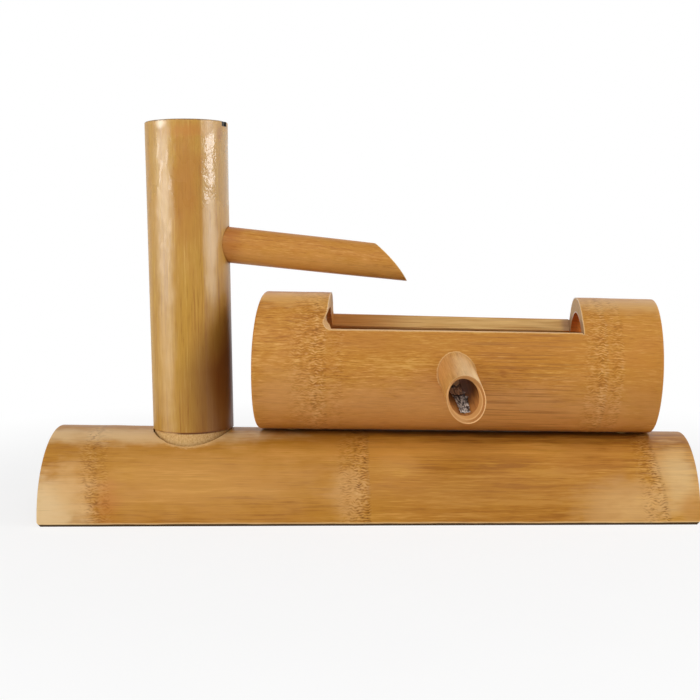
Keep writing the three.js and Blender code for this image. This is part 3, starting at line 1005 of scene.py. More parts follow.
def make_base():
    log = log_shell(BASE_LEFT, BASE_RIGHT, BASE_NODES, base_radius, base_bore, BASE_PARTITION, BASE_EDGE)
    piece = new_piece("base_bamboo", log, Matrix.Identity(4))
    grow(piece, base_radius, BASE_NODES, 1.3, math.pi / 2)
    depth = BASE_RADIUS + OVERRUN
    middle = (BASE_LEFT + BASE_RIGHT) / 2
    ground = block((BASE_LENGTH + 2 * OVERRUN, 2 * depth, depth), (middle, 0.0, -depth / 2))
    side = BASE_FOOT_CHAMFER * math.sqrt(2)
    wedge = block((side, 2 * depth, side), (0.0, 0.0, 0.0))
    chamfers = [turned(wedge, turn_about("Y", 45), x) for x in (BASE_LEFT, BASE_RIGHT)]
    pegs = [peg_hole_shell(x) for x in PEG_PLACES]
    cut(piece, [ground, *chamfers, foot_bevel_shell(-1), foot_bevel_shell(1), post_hole_shell(), *pegs])
    partitions = [(x, BASE_PARTITION / 2 + PARTITION_MARGIN) for x in BASE_NODES]
    mark_zones(piece, base_radius, base_bore, partitions)
    skin = bamboo_skin("base_skin", (147, 91, 22), (175, 119, 36), (197, 144, 63), 50.0, 3.0, BASE_STAINS_AND_PAINTED_LIGHT,
                       BASE_RINGS, specular=0.18, edge_share=0.7, growth=(-30, 120, 2.4), shares=(0.85, 0.34),
                       finish=base_finish)
    raw = bamboo_cut("base_cut", BASE_RADIUS - 3, BASE_WALL, 3.0)
    hollow = bamboo_hollow("base_hollow", (190, 146, 88), (140, 92, 44), 3.0)
    finished(piece, "base", "base_half_culm", "base_bamboo", skin, raw, hollow)


# Post and spout.

POST_STAINS_AND_PAINTED_LIGHT = (
    ((152, 4, -25.5), 40, 9, (170, 108, 34), 0.65),
    ((186, 3, -25), 4, 12, (186, 120, 46), 0.6),
    # Painted highlights: the side lamps' streaks left and right, and painted light low on the lit left side.
    ((112, -11, -22.5), 90, 5.5, (228, 196, 148), 0.32),
    ((112, 17, -18.5), 34, 4.5, (234, 206, 168), 0.32),
    ((36, -13, -21.5), 46, 6, (212, 168, 102), 0.3),
    ((POST_HEIGHT - 8, 22.5, -12), 4, 2.5, (150, 90, 40), 0.5),
    # Painted highlight: a pale blob near the rim on the left streak.
    ((POST_HEIGHT - 2.5, -11.5, -23), 3, 3.5, (250, 226, 190), 0.8),
)
SPOUT_STAINS = (
    ((POST_RADIUS_TOP + 2, 0, 0), 7, 20, (170, 98, 42), 0.6),
    ((80, -7.5, -7), 80, 7, (218, 158, 84), 0.5),
)


def rim_chip_shell():
    """A splinter out of the rim, in the post's frame."""
    radius = POST_RADIUS_TOP - CHIP_BITE
    chip = block((2 * CHIP_DEPTH, OVERRUN, CHIP_WIDTH), (POST_HEIGHT, radius + OVERRUN / 2, 0.0))
    return turned(chip, turn_about("X", CHIP_BEARING))


def mark_chip(piece, slack=0.1):
    """Gives the torn faces of the rim's splinter their own material, painted nearly black as shade."""
    back = turn_about("X", -CHIP_BEARING)
    for face in piece.data.polygons:
        x, y, z = back @ (face.center / MM)
        beside = abs(z) < CHIP_WIDTH / 2 + slack and x > POST_HEIGHT - CHIP_DEPTH - slack
        if beside and POST_RADIUS_TOP - CHIP_BITE - slack < y < POST_RADIUS_TOP - slack:
            face.material_index = SPLIT


def swollen(point):
    """The point, moved out where the post's foot is thicker on its right side."""
    x, y, z = point
    radius = math.hypot(y, z)
    if x < 0.1 or x > POST_SWELL_HEIGHT or y < 0 or radius < POST_RADIUS_SHOULDER - 1:
        return point
    return x, y + POST_SWELL * (1 - x / POST_SWELL_HEIGHT) * y / radius, z


def chip_shade():
    """Painted shade: nearly black where the rim's splinter came off, greyer towards the outside."""
    shader = Shader("post_torn")
    here = shader.own_mm()
    shreds = shader.noise(here, 4, 0.7, detail=3, roughness=0.6)
    greyer_outside = shader.parts(here)[1].range(21, 24).ramp((16, 14, 12), (104, 104, 100))
    colour = shreds.range(0.35, 0.65).ramp((18, 15, 12), greyer_outside)
    return shader.finish(colour, 0.8, shader.bump(shreds, 0.6, 0.2), 0.2)


def spout_hole_shell():
    hole = bar(0.0, POST_RADIUS_TOP + OVERRUN, SPOUT_RADIUS_ROOT + SEAT_GAP, TUBE_SIDES)
    verts, faces = turned(hole, turn_about("Y", SPOUT_FALL))
    return [(z + SPOUT_Z, x, y) for x, y, z in verts], faces


def tenon_and_post(x):
    return TENON_RADIUS if x < 0 else post_radius(x)


def post_bore(x):
    share = (x + TENON_LENGTH) / (POST_HEIGHT + TENON_LENGTH)
    return between((POST_BORE, POST_RADIUS_TOP - POST_WALL), share)


def make_post():
    profile = [(-TENON_LENGTH, POST_BORE), (-TENON_LENGTH, TENON_RADIUS - POST_EDGE)]
    profile += [(x, TENON_RADIUS) for x in steps(-TENON_LENGTH + POST_EDGE, 0.0, WALL_STEP)]
    profile += [(0.0, POST_RADIUS_SHOULDER - SHOULDER_EDGE), (SHOULDER_EDGE, post_radius(0.0))]
    profile += [(x, post_radius(x)) for x in steps(POST_SKIN_START, POST_HEIGHT - POST_EDGE, SKIN_STEP)]
    profile += rounded(POST_HEIGHT, POST_RADIUS_TOP, POST_EDGE, 1)[1:]
    profile += [(x, post_bore(x)) for x in steps(POST_HEIGHT, -TENON_LENGTH, BORE_STEP)[:-1]]
    verts, faces = revolve(profile, POST_SIDES, closed=True)
    shell = [swollen(point) for point in verts], faces
    piece = new_piece("post_bamboo", shell, upright(POST_X, SHOULDER_Z))
    cut(piece, [spout_hole_shell(), rim_chip_shell()])
    mark_zones(piece, tenon_and_post, post_bore)
    mark_chip(piece)
    skin = bamboo_skin("post_skin", (158, 107, 34), (184, 137, 52), (206, 167, 86), 25.0, 41.0, POST_STAINS_AND_PAINTED_LIGHT,
                       roughness=0.4, specular=0.25, raw=(150, 92, 40), edge_share=0.7, finish=post_finish)
    raw = bamboo_cut("post_cut", POST_RADIUS_TOP, POST_WALL, 41.0)
    hollow = bamboo_hollow("post_hollow", (196, 152, 92), (134, 86, 40), 41.0)
    finished(piece, "post", "post_culm", "post_bamboo", skin, raw, hollow, chip_shade())


def beyond_plane_shell(x, rake, skew, bulge=0.0):
    """Everything past a slanted cut. Its normal starts as +X, is raised by rake and is then turned by skew.
    bulge is how far the cut's middle stands out."""
    half, count, side = PLANE_HALF, PLANE_CELLS, PLANE_CELLS + 1
    grid = [share ** 3 * half for share in np.linspace(-1, 1, side)]
    verts = [(bulge * max(0.0, 1 - (z / SPOUT_BULGE_WIDTH) ** 2), y, z) for z in grid for y in grid]
    faces = grid_faces(count, count)
    start = len(verts)
    verts += [(2 * half, y * half, z * half) for y, z in ((-1, -1), (1, -1), (1, 1), (-1, 1))]
    low, high = tuple(range(side)), tuple(range(count * side, side * side))
    left, right = tuple(range(0, side * side, side)), tuple(range(count, side * side, side))
    faces.append((start, start + 3, start + 2, start + 1))
    faces.append(low[::-1] + (start, start + 1))
    faces.append(high + (start + 2, start + 3))
    faces.append(left + (start + 3, start))
    faces.append(right[::-1] + (start + 1, start + 2))
    return turned((verts, faces), turn_about("Z", skew) @ turn_about("Y", -rake), x)


def tube_shell(start, end, outer, inner, edge, step):
    """A tube that is rounded at its start and runs past its end."""
    profile = [(start, inner(start))] + rounded(start, outer(start), edge, -1)
    profile += [(x, outer(x)) for x in steps(start + edge, end, step)[1:]]
    profile += [(x, inner(x)) for x in steps(end, start, 2 * step)[:-1]]
    return revolve(profile, TUBE_SIDES, closed=True)


def spout_bore(x):
    return spout_radius(x) - SPOUT_WALL


def spout_outside(x):
    return spout_radius(x) + SPOUT_SWELL * clamped((x - POST_RADIUS_TOP) / SPOUT_SWELL_LENGTH)


def make_spout():
    tube = tube_shell(SPOUT_ROOT, SPOUT_TIP_REACH + OVERRUN, spout_outside, spout_bore, SPOUT_EDGE,
                      SPOUT_STEP)
    place = moved_to(POST_X, 0.0, SHOULDER_Z + SPOUT_Z) @ turn_about("Y", SPOUT_FALL)
    piece = new_piece("spout_bamboo", tube, place)
    cut(piece, [beyond_plane_shell(SPOUT_REACH, SPOUT_MOUTH_RAKE, SPOUT_SKEW, SPOUT_BULGE)])
    mark_zones(piece, spout_radius, spout_bore, tolerance=0.4, steepest=0.5)
    skin = bamboo_skin("spout_skin", (156, 94, 30), (186, 126, 50), (206, 153, 80), 11.0, 77.0, SPOUT_STAINS,
                       roughness=0.45, specular=0.22, grain=(0.3, 0.25, 1.0, 1.2), run=0.4)
    raw = bamboo_cut("spout_cut", SPOUT_RADIUS_TIP, SPOUT_WALL, 77.0)
    hollow = bamboo_hollow("spout_hollow", (180, 134, 78), (112, 70, 32), 77.0)
    finished(piece, "post", "spout_tube", "spout_bamboo", skin, raw, hollow)


# Trough.

TROUGH_RINGS = (
    (TROUGH_NODES[0] + 3.6, 0, 8, 3, 1, 0.08),
    (TROUGH_NODES[0] - 4, 0, 17, 5, 0.65, 0),
    (TROUGH_NODES[0] + 12, 0, 7, 5, 0.4, 0),
    (TROUGH_NODES[1] + 1, 0, 6, 2.5, 1.2, 0.12),
    (TROUGH_NODES[1] - 6, 0, 6, 3, 0.6, 0),
    (TROUGH_NODES[1] + 9, 0, 7, 4, 0.7, 0),
)
TROUGH_STAINS_AND_PAINTED_LIGHT = (
    ((16, -42, -14), 16, 20, (200, 144, 78), 0.5),
    # Painted light: the lower front lighter.
    ((120, -32, -27), 150, 22, (206, 146, 82), 0.65),
    ((60, -40, 17), 30, 12, (172, 108, 22), 0.4),
    ((130, -40, 17), 90, 13, (172, 110, 24), 0.4),
    ((232, -42, -4), 12, 26, (182, 118, 42), 0.4),
    # Painted light on the top at the left end.
    ((14, -16, 40), 40, 10, (222, 176, 106), 0.65),
    ((20, 1, 44), 44, 6, (172, 112, 56), 0.55),
    # Painted light on the top at the right end.
    ((230, -16, 40), 44, 10, (214, 170, 104), 0.55),
)
CUT_TONES_AND_SHADE = (
    # Painted shade: reddish and darker at the left end, where the left wall shades the cut faces.
    (0, 52, 110, (186, 110, 28), 0.7),
    (1, -12, -4, (224, 180, 116), 0.75),
    (0, 195, 190, (152, 118, 96), 0.65),
    (2, 31.5, 28.5, (222, 184, 130), 0.7),
)
CHAMBER_TONES_AND_SHADE = (
    (0, 400, 401, (251, 204, 130), 0.9),
    # Painted shade at the left end, where the left wall shades the chamber.
    (0, 46, 100, (184, 112, 50), 0.75),
    (0, 197, 190, (228, 128, 44), 0.85),
    # Painted shadow: a dark band low on the back wall where the front wall shades it, lighter again below.
    (2, 18, 19.6, (136, 66, 14), 0.85),
    (2, 6, 14, (206, 152, 92), 0.75),
)


def trough_placement():
    return moved_to(TROUGH_LEFT, 0.0, TROUGH_Z) @ Matrix.Rotation(TROUGH_PITCH, 4, "Y")


def window_outline(width, height):
    """Outline of the window from the front: from the left wall down, with the saw's overrun at its right."""
    flat = steps(WINDOW_FOOT[0][1], width - KERF_WIDTH, FACE_STEP)
    sill = [(x, SAW_WAVES * rough(x * 0.11, 3.0, 0.0)) for x in flat]
    kerf = [(width - KERF_WIDTH, -KERF_DEPTH), (width, -KERF_DEPTH)]
    rise = [(0.0, z) for z in steps(height, WINDOW_FOOT[-1][0] + FACE_STEP, FACE_STEP)]
    foot = [(shift, z) for z, shift in WINDOW_FOOT[::-1]]
    return rise + foot[:-1] + sill + kerf + [(width, z) for z in steps(0.0, height, FACE_STEP)]


def sill_dip(y):
    """How far the sill falls towards the hollow, where a knife went over its inner edge: more at the back."""
    rim = TROUGH_RADIUS - SILL_RIM
    if y > 0:
        return BACK_BEVEL * clamped((rim - y) / BACK_BEVEL_WIDTH)
    return SILL_DIP * clamped((y + rim) / SILL_DIP_WIDTH)


def window_point(along, above, y, left, width):
    """A point of the window's shell at the depth y, from a point of its outline."""
    share = along / width
    lean, skew, tilt = (tangent(between(pair, share)) for pair in (WINDOW_LEANS, WINDOW_SKEWS, SILL_TILTS))
    slant = skew * y * (y / BACK_SLANT_REACH if y > 0 and share < 0.5 else 1.0)
    coarse = SAW_MARKS * rough(above * 0.3, y * 0.3, 7.0 + share)
    dip = sill_dip(y) if above < 0.5 and along > WINDOW_FOOT[0][1] - 0.01 else 0.0
    if along < WINDOW_FOOT[0][1] + 0.01:
        along *= clamped((FOOT_FADE_START - y) / FOOT_FADE_LENGTH)
    x = left + along + lean * above + slant + coarse
    return x, y, between(SILL_HEIGHTS, share) + tilt * y + above - dip


def window_shell():
    left = TROUGH_NODES[0] + WINDOW_MARGINS[0]
    width = TROUGH_NODES[1] - WINDOW_MARGINS[1] - left
    height = TROUGH_RADIUS + OVERRUN
    outline = window_outline(width, height)
    verts, rings = [], []
    for y in steps(-height, height, WALL_STEP):
        rings.append(range(len(verts), len(verts) + len(outline)))
        verts += [window_point(along, above, y, left, width) for along, above in outline]
    return verts, bands(rings) + [tuple(rings[0])[::-1], tuple(rings[-1])]


def outlet_placement():
    """Frame of the outlet inside the trough's frame, in metres."""
    depth = math.sqrt(trough_radius(OUTLET_STATION) ** 2 - OUTLET_DROP ** 2)
    place = moved_to(OUTLET_STATION, -depth, -OUTLET_DROP)
    return place @ turn_about("Z", OUTLET_YAW) @ turn_about("Y", OUTLET_FALL)


def outlet_hole_shell():
    hole = bar(-OUTLET_ROOT - OVERRUN, OVERRUN, OUTLET_RADIUS + OUTLET_FIT, TUBE_SIDES)
    return turned(hole, in_millimetres(outlet_placement()))


def trough_bore(x):
    return trough_radius(x) - TROUGH_WALL


def skewed_end(x, y, z):
    """The point, moved along where the trough's end is cut askew. The left end also bows out low down."""
    side, distance = (0, x) if x < TROUGH_LENGTH / 2 else (1, TROUGH_LENGTH - x)
    share = max(0.0, 1.0 - distance / TROUGH_END_REACH)
    bow = TROUGH_BOW * z * z if side == 0 and z < 0 else 0.0
    return x + share * (tangent(TROUGH_END_SKEWS[side]) * y - bow), y, z


def make_trough():
    verts, faces = log_shell(0.0, TROUGH_LENGTH, TROUGH_NODES, trough_radius, trough_bore, TROUGH_PARTITION,
                             TROUGH_EDGE)
    shell = [skewed_end(*point) for point in verts], faces
    piece = new_piece("trough_bamboo", shell, trough_placement())
    grow(piece, trough_radius, TROUGH_NODES, 4.1, -math.pi / 2)
    back = in_millimetres(trough_placement()).inverted()
    pegs = [turned(peg_hole_shell(x), back) for x in PEG_PLACES]
    cut(piece, [window_shell(), outlet_hole_shell(), *pegs])
    partitions = [(x, TROUGH_PARTITION / 2 + PARTITION_MARGIN) for x in TROUGH_NODES]
    mark_zones(piece, trough_radius, trough_bore, partitions)
    skin = bamboo_skin("trough_skin", (156, 93, 26), (185, 124, 45), (208, 155, 78), 43.0, 19.0,
                       TROUGH_STAINS_AND_PAINTED_LIGHT, TROUGH_RINGS, specular=0.18, grain=(0.8, 0.35, 1.0, 1.8), run=0.5,
                       growth=(90, 200, 0.7), lines=(128, 190, 0.5))
    raw = bamboo_cut("trough_cut", TROUGH_RADIUS, TROUGH_WALL, 19.0, (222, 180, 114), (178, 124, 62),
                     TROUGH_SLOPE, 0.85, CUT_TONES_AND_SHADE)
    hollow = bamboo_hollow("trough_hollow", (204, 166, 114), (158, 114, 66), 19.0, CHAMBER_TONES_AND_SHADE)
    finished(piece, "trough", "trough_culm", "trough_bamboo", skin, raw, hollow)


# Outlet and its torn lining.

OUTLET_STAINS_AND_PAINTED_LIGHT = (
    # Painted highlights on the top and the right side.
    ((12, 3, 11), 16, 7, (228, 192, 144), 0.6),
    ((20, 8, 8), 12, 4.5, (244, 214, 166), 0.7),
    ((4, -9, 4), 14, 8, (204, 142, 78), 0.6),
)


def outlet_cut():
    """The outlet's slanted mouth: painted highlights as pale lines on both sides of a brown groove, and a
    dark top.
    """
    shader = Shader("outlet_cut")
    here = shader.own_mm()
    y, z = shader.parts(here)[1:]
    grit = shader.noise(here, 1.2, 1.2, detail=3)
    radius = shader.length(shader.whole(0, y, z)) + grit.around(0.5)
    # Painted highlights of the rounded rim: a pale band inside the groove and a pale outer edge.
    colour = radius.range(8.8, 9.1).ramp((188, 128, 66), (206, 154, 94))
    colour = colour.toward((168, 106, 46), radius.range(9.4, 9.8))
    colour = colour.toward((226, 176, 118), radius.range(10.7, 11))
    colour = colour.toward((196, 142, 84), (y + grit.around(3)).range(5, -4, 0, 0.7))
    colour = colour.toward((160, 108, 54), (z + grit.around(3)).range(4.5, 8.5, 0, 0.8))
    return shader.finish(colour, 0.55, shader.bump(grit, 0.5, 0.12), 0.3)


def bore_at(x):
    """Size of the outlet's bore at x as a share of its usual one, and its drift across and up."""
    share = clamped(x / OUTLET_REACH)
    across, up = OUTLET_BORE_DRIFT
    return between((1.0, OUTLET_BORE_SHARE), share), share * across, share * up


def outlet_outside(x):
    return OUTLET_RADIUS


def outlet_inside(x):
    return OUTLET_BORE


def make_outlet():
    end = OUTLET_REACH + OUTLET_RADIUS + OVERRUN
    verts, faces = tube_shell(-OUTLET_ROOT, end, outlet_outside, outlet_inside, OUTLET_EDGE, OUTLET_STEP)
    carved = []
    for x, y, z in verts:
        size, across, up = bore_at(x) if math.hypot(y, z) < OUTLET_BORE + 0.1 else (1.0, 0.0, 0.0)
        carved.append((x, y * size + across, z * size + up))
    piece = new_piece("outlet_bamboo", (carved, faces), trough_placement() @ outlet_placement())
    cut(piece, [beyond_plane_shell(OUTLET_REACH, OUTLET_RAKE, OUTLET_SKEW)])
    mark_zones(piece, outlet_outside, outlet_inside, tolerance=2.6, steepest=0.5)
    skin = bamboo_skin("outlet_skin", (166, 110, 48), (192, 138, 73), (212, 167, 102), 11.0, 111.0,
                       OUTLET_STAINS_AND_PAINTED_LIGHT, edge_share=0.7, grain=(0.8, 0.7, 1.2, 1.3), run=0.3)
    hollow = bamboo_hollow("outlet_hollow", (176, 112, 52), (132, 78, 34), 111.0)
    finished(piece, "trough", "outlet_tube", "outlet_bamboo", skin, outlet_cut(), hollow)


def lining_points(along, side):
    """The upper and the lower point of the lining. along is 0 at its inner end and 1 near the mouth, and
    side is from -1 to 1."""
    ragged = 0.3 * rough(9.0 * along, 2.0 * side, 5.0)
    width = math.radians(LINING_SPREAD) * (0.8 + ragged + 0.5 * (1 - along))
    angle = math.radians(between(LINING_BEARINGS, min(2 * along, 1.0))) + side * width
    x = along * LINING_LENGTH + 1.4 * rough(3.0 * side, 1.0, 2.0)
    folds = rough(0.75 * x, 2.2 * side, 1.0) + 0.6 * rough(1.9 * x, 5.0 * side, 3.0)
    lift = LINING_LIFT * max(1 - 5 * along, 0.0) + LINING_FOLD * (1 + folds)
    size, across, up = bore_at(x)
    radii = (OUTLET_BORE * size - height for height in (lift + LINING_THICKNESS, lift))
    return [(x, r * math.cos(angle) + across, r * math.sin(angle) + up) for r in radii]


def lining_shell():
    rows, columns = LINING_ROWS, LINING_COLUMNS
    grid = [lining_points(i / rows, 2 * j / columns - 1) for i in range(rows + 1) for j in range(columns + 1)]
    count, width = len(grid), columns + 1
    faces = []
    for a, b, c, d in grid_faces(rows, columns):
        faces += [(a, b, c, d), (count + a, count + d, count + c, count + b)]
    border = list(range(columns)) + [i * width + columns for i in range(rows)]
    border += [rows * width + j for j in range(columns, 0, -1)] + [i * width for i in range(rows, 0, -1)]
    for a, b in zip(border, border[1:] + border[:1]):
        faces.append((b, a, count + a, count + b))
    return [top for top, under in grid] + [under for top, under in grid], faces


def torn_film():
    """Shiny film whose pale grey tone near the mouth is a painted silvery highlight, brown further in, with
    dark folds and cracks.
    """
    shader = Shader("lining")
    here = shader.own_mm()
    creases_and_sheen = shader.noise(here, 5, 1.3, distortion=0.5)
    cracks = shader.noise(here, 1.1, 5, detail=1)
    # The pale grey tone is a painted silvery highlight on the crumpled film.
    colour = creases_and_sheen.range(0.42, 0.62).ramp((64, 42, 30), (226, 206, 190))
    colour = colour.toward((44, 26, 16), cracks.range(0.54, 0.64, 0, 0.85))
    x = shader.parts(here)[0] + cracks.around(3)
    brown = creases_and_sheen.range(0.4, 0.6).ramp((168, 120, 84), (250, 206, 164))
    colour = colour.toward(brown, x.range(10.5, 8.5)).toward((255, 220, 172), x.range(3.5, 2, 0, 0.8))
    for fold in LINING_FOLDS:
        colour = colour.toward((40, 20, 8), abs(x - fold).range(0.4, 1.2, 0.85, 0))
    return shader.finish(colour, 0.35, shader.bump(creases_and_sheen, 0.8, 0.3), 0.6)


def make_lining():
    """The culm's papery lining, torn loose at its inner end and crumpled on the outlet's floor."""
    piece = new_piece("outlet_lining", lining_shell(), trough_placement() @ outlet_placement())
    finished(piece, "trough", "outlet_tube", "outlet_bamboo", torn_film())


# Pegs, hose and joiner.


def fluted(y, z, count, turn=0.0):
    """The point of a round piece, moved in by shallow flutes along it."""
    size = 1 - FLUTE_DEPTH * (1 + math.cos(count * math.atan2(z, y) + turn)) / 2
    return y * size, z * size


def make_peg(name, node, x):
    length = PEG_IN_BASE + SEAT_GAP + PEG_IN_TROUGH
    profile = [(0.0, 0.0)] + rounded(0.0, PEG_RADIUS, PEG_EDGE, -1)
    profile += [(at, PEG_RADIUS) for at in steps(PEG_EDGE, length - PEG_EDGE, PEG_STEP)[1:-1]]
    profile += rounded(length, PEG_RADIUS, PEG_EDGE, 1) + [(length, 0.0)]
    verts, faces = revolve(profile, ROD_SIDES)
    whittled = [(at, *fluted(y, z, PEG_FLUTES, PEG_TWIST * at)) for at, y, z in verts]
    piece = new_piece(name, (whittled, faces), upright(x, base_radius(x) - PEG_IN_BASE))
    skin = bamboo_skin(name + "_skin", (188, 148, 90), (212, 178, 122), (228, 200, 150), PEG_RADIUS, x,
                       roughness=0.6, grain=(0.8, 0.7, 1.2, 1.1), run=0.5)
    finished(piece, "base", node, "peg_bamboo", skin)


BEND_X = HOSE_X + HOSE_BEND
BEND_Z = SPOUT_Z - (BEND_X + HOSE_BEND * math.sin(FALL)) * math.tan(FALL) - HOSE_BEND * math.cos(FALL)
HOSE_RISE = BEND_Z + TENON_LENGTH
HOSE_LENGTH = HOSE_RISE + HOSE_BEND * (math.pi / 2 + FALL) + HOSE_IN_SPOUT


def hose_point(run):
    """Middle line of the hose in the post's frame: the point and the direction across it."""
    if run < HOSE_RISE:
        return Vector((HOSE_X, 0.0, run - TENON_LENGTH)), Vector((-1.0, 0.0, 0.0))
    angle = min((run - HOSE_RISE) / HOSE_BEND, math.pi / 2 + FALL)
    rest = max(run - HOSE_RISE - HOSE_BEND * (math.pi / 2 + FALL), 0.0)
    across = Vector((-math.cos(angle), 0.0, math.sin(angle)))
    along = Vector((math.cos(FALL), 0.0, -math.sin(FALL)))
    return Vector((BEND_X, 0.0, BEND_Z)) + HOSE_BEND * across + rest * along, across


def plastic(name, clouds, tones, roughness, pits):
    """Plastic with faint clouds, (length, width, detail), and with pits, (size, strength, depth)."""
    shader = Shader(name)
    here = shader.own_mm()
    tone = shader.noise(here, *clouds)
    size, strength, depth = pits
    normal = shader.bump(shader.noise(here, size, size), strength, depth)
    return shader.finish(tone.range(0.35, 0.65).ramp(*tones), tone.range(0.3, 0.7, *roughness), normal, 0.5)


def make_hose():
    profile = [(0.0, HOSE_BORE)] + rounded(0.0, HOSE_RADIUS, HOSE_EDGE, -1)
    profile += [(run, HOSE_RADIUS) for run in steps(HOSE_EDGE, HOSE_LENGTH - HOSE_EDGE, HOSE_STEP)[1:-1]]
    profile += rounded(HOSE_LENGTH, HOSE_RADIUS, HOSE_EDGE, 1)
    profile += [(run, HOSE_BORE) for run in steps(HOSE_LENGTH, 0.0, HOSE_STEP)[:-1]]
    verts, faces = revolve(profile, ROD_SIDES, closed=True)
    bent = []
    for run, y, z in verts:
        middle, across = hose_point(run)
        bent.append(tuple(middle + Vector((0.0, y, 0.0)) + z * across))
    piece = new_piece("riser_hose_vinyl", (bent, faces), moved_to(POST_X, 0.0, SHOULDER_Z))
    tones = ((196, 202, 198), (216, 218, 210))
    vinyl = plastic("hose_vinyl", (9, 9, 3), tones, (0.16, 0.3), (1.5, 0.3, 0.05))
    finished(piece, "post", "riser_hose", "hose_vinyl", vinyl)


def barbs(start, length, tip, root):
    """Three barbs that rise against the way they are pushed in, with blunt tips."""
    pitch = length / 3
    profile = []
    for low in (start, start + pitch, start + 2 * pitch):
        profile += [(low, tip - 0.12), (low + 0.12, tip), (low + 0.4, tip - 0.02)]
        profile += [(low + pitch - 0.15, root + 0.02), (low + pitch, root)]
    return profile


def make_joiner():
    tip = HOSE_BORE * math.cos(math.pi / HOSE_SIDES_IN_CAD) - SEAT_GAP
    root = (tip + JOINER_BORE) / 2
    collar_top = -SEAT_GAP
    collar_foot = collar_top - JOINER_COLLAR
    foot = collar_foot - JOINER_TAIL
    profile = [(foot, JOINER_BORE)] + barbs(foot, JOINER_TAIL, tip, root)
    profile += rounded(collar_foot, JOINER_COLLAR_RADIUS, JOINER_COLLAR_EDGE, -1)
    profile += rounded(collar_top, JOINER_COLLAR_RADIUS, JOINER_COLLAR_EDGE, 1)
    profile += [(JOINER_BARB - x, r) for x, r in barbs(0.0, JOINER_BARB, tip, root)][::-1]
    profile.append((JOINER_BARB, JOINER_BORE))
    verts, faces = revolve(profile, JOINER_SIDES, closed=True)
    gripped = []
    for x, y, z in verts:
        on_collar = collar_foot + 0.5 < x < collar_top - 0.5
        grip = on_collar and math.hypot(y, z) > JOINER_COLLAR_RADIUS - 0.3
        gripped.append((x, *fluted(y, z, JOINER_FLUTES)) if grip else (x, y, z))
    place = upright(POST_X + HOSE_X, SHOULDER_Z - TENON_LENGTH)
    piece = new_piece("hose_joiner_plastic", (gripped, faces), place)
    dark = plastic("joiner_plastic", (6, 3), ((44, 46, 48), (58, 60, 62)), (0.38, 0.52), (0.7, 0.4, 0.04))
    finished(piece, "post", "hose_joiner", "joiner_plastic", dark)


# Camera, lights and floor.

CAMERA_PLACE = (0.01965, -0.7055, 0.17156)
CAMERA_PITCH = 5.69
CAMERA_YAW = -1.99
CAMERA_ROLL = -0.5
CAMERA_LENS = 57.22
CAMERA_SENSOR = 36.0

WHITE = (1.0, 1.0, 1.0, 1.0)
WORLD_STRENGTH = 0.18

# Each lamp is its name, its place and target in metres, its two sides in metres and its power in watts.
LAMPS = (
    ("key", (-0.1, -1.2, 0.85), (0.0, 0.0, 0.1), (1.2, 0.5), 4.8),
    ("overhead", (0.02, -0.55, 1.2), (0.02, -0.2, 0.0), (1.1, 0.7), 3.2),
    ("back_fill", (0.05, 1.1, 0.9), (0.0, 0.0, 0.08), (1.4, 0.6), 1.1),
    ("left_box", (POST_X * MM - 0.90, -0.63, 0.42), (POST_X * MM, 0.0, 0.13), (0.6, 0.8), 5.6),
    ("right_box", (POST_X * MM + 1.066, -0.29, 0.48), (POST_X * MM, 0.0, 0.15), (0.5, 0.5), 4.6),
)

# Half the floor's side in metres. Its own light grows from FLOOR_GLOW_NEAR to full between two distances
# from the origin in millimetres.
FLOOR_HALF = 6.0
FLOOR_WHITE_FROM = 210.0
FLOOR_WHITE_TO = 520.0
FLOOR_GLOW_NEAR = 0.74


def add_camera():
    """Camera at the place that the photograph was taken from, worked out from the object's outlines."""
    pitch, yaw, roll = (math.radians(angle) for angle in (CAMERA_PITCH, CAMERA_YAW, CAMERA_ROLL))
    forward = Vector((math.sin(yaw) * math.cos(pitch), math.cos(yaw) * math.cos(pitch), -math.sin(pitch)))
    right = Vector((math.cos(yaw), -math.sin(yaw), 0.0))
    up = right.cross(forward)
    side = right * math.cos(roll) + up * math.sin(roll)
    top = up * math.cos(roll) - right * math.sin(roll)
    data = bpy.data.cameras.new("camera")
    data.lens = CAMERA_LENS
    data.sensor_width = CAMERA_SENSOR
    camera = new_object("camera", data)
    axes = Matrix((side, top, -forward)).transposed().to_4x4()
    camera.matrix_world = Matrix.Translation(CAMERA_PLACE) @ axes
    bpy.context.scene.camera = camera


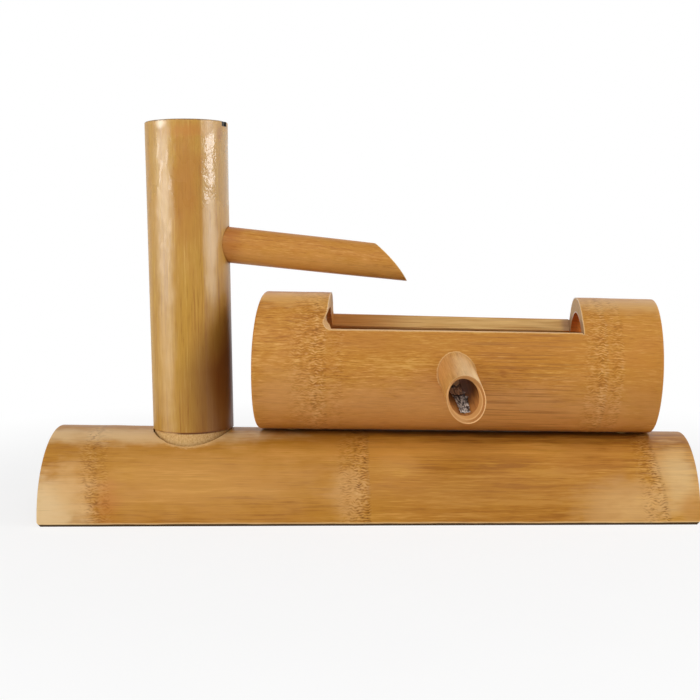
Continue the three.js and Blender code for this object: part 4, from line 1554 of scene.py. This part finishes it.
def add_lamp(name, place, target, size, power):
    data = bpy.data.lights.new(name, "AREA")
    data.shape = "RECTANGLE"
    data.size, data.size_y = size
    data.energy = power
    light = new_object(name, data)
    light.location = place
    light.rotation_euler = (Vector(target) - Vector(place)).to_track_quat("-Z", "Y").to_euler()


def add_world():
    """Even light for the object, and plain white wherever the camera or a reflection looks past it."""
    shader = Shader("studio", world=True)
    bpy.context.scene.world = shader.made
    light = shader.add("ShaderNodeBackground", {"Color": WHITE, "Strength": WORLD_STRENGTH})
    white = shader.add("ShaderNodeBackground", {"Color": WHITE, "Strength": 1})
    mixed = shader.add("ShaderNodeMixShader", {0: shader.seen(), 1: light, 2: white})
    shader.add("ShaderNodeOutputWorld", {"Surface": mixed})


def add_floor():
    """Pale floor, nearly white to the camera, that keeps the object's faint shadow."""
    mesh = bpy.data.meshes.new("floor")
    corners = [(x * FLOOR_HALF, y * FLOOR_HALF, 0.0) for x, y in ((-1, -1), (1, -1), (1, 1), (-1, 1))]
    mesh.from_pydata(corners, [], [(0, 1, 2, 3)])
    floor = new_object("floor", mesh)
    shader = Shader("floor")
    place = shader.add("ShaderNodeTexCoord", {}, "Object")
    place = shader.vector("DIVIDE", place, (MM, MM, MM))
    grain = shader.noise(place, 50, 50)
    matte = shader.add("ShaderNodeBsdfDiffuse", {"Color": grain.ramp((246, 246, 246), (250, 250, 250))})
    glow = shader.add("ShaderNodeEmission", {"Color": WHITE, "Strength": 1})
    spread = shader.length(place) + grain.around(30)
    share = shader.seen() * spread.range(FLOOR_WHITE_FROM, FLOOR_WHITE_TO, FLOOR_GLOW_NEAR, 1)
    mixed = shader.add("ShaderNodeMixShader", {0: share, 1: matte, 2: glow})
    shader.add("ShaderNodeOutputMaterial", {"Surface": mixed})
    mesh.materials.append(shader.made)


make_base()
make_post()
make_spout()
make_trough()
make_outlet()
make_lining()
make_peg("peg_left_bamboo", "trough_peg_left", PEG_PLACES[0])
make_peg("peg_right_bamboo", "trough_peg_right", PEG_PLACES[1])
make_hose()
make_joiner()

add_camera()
add_world()
for lamp in LAMPS:
    add_lamp(*lamp)
add_floor()

bpy.context.scene.view_settings.view_transform = "Standard"
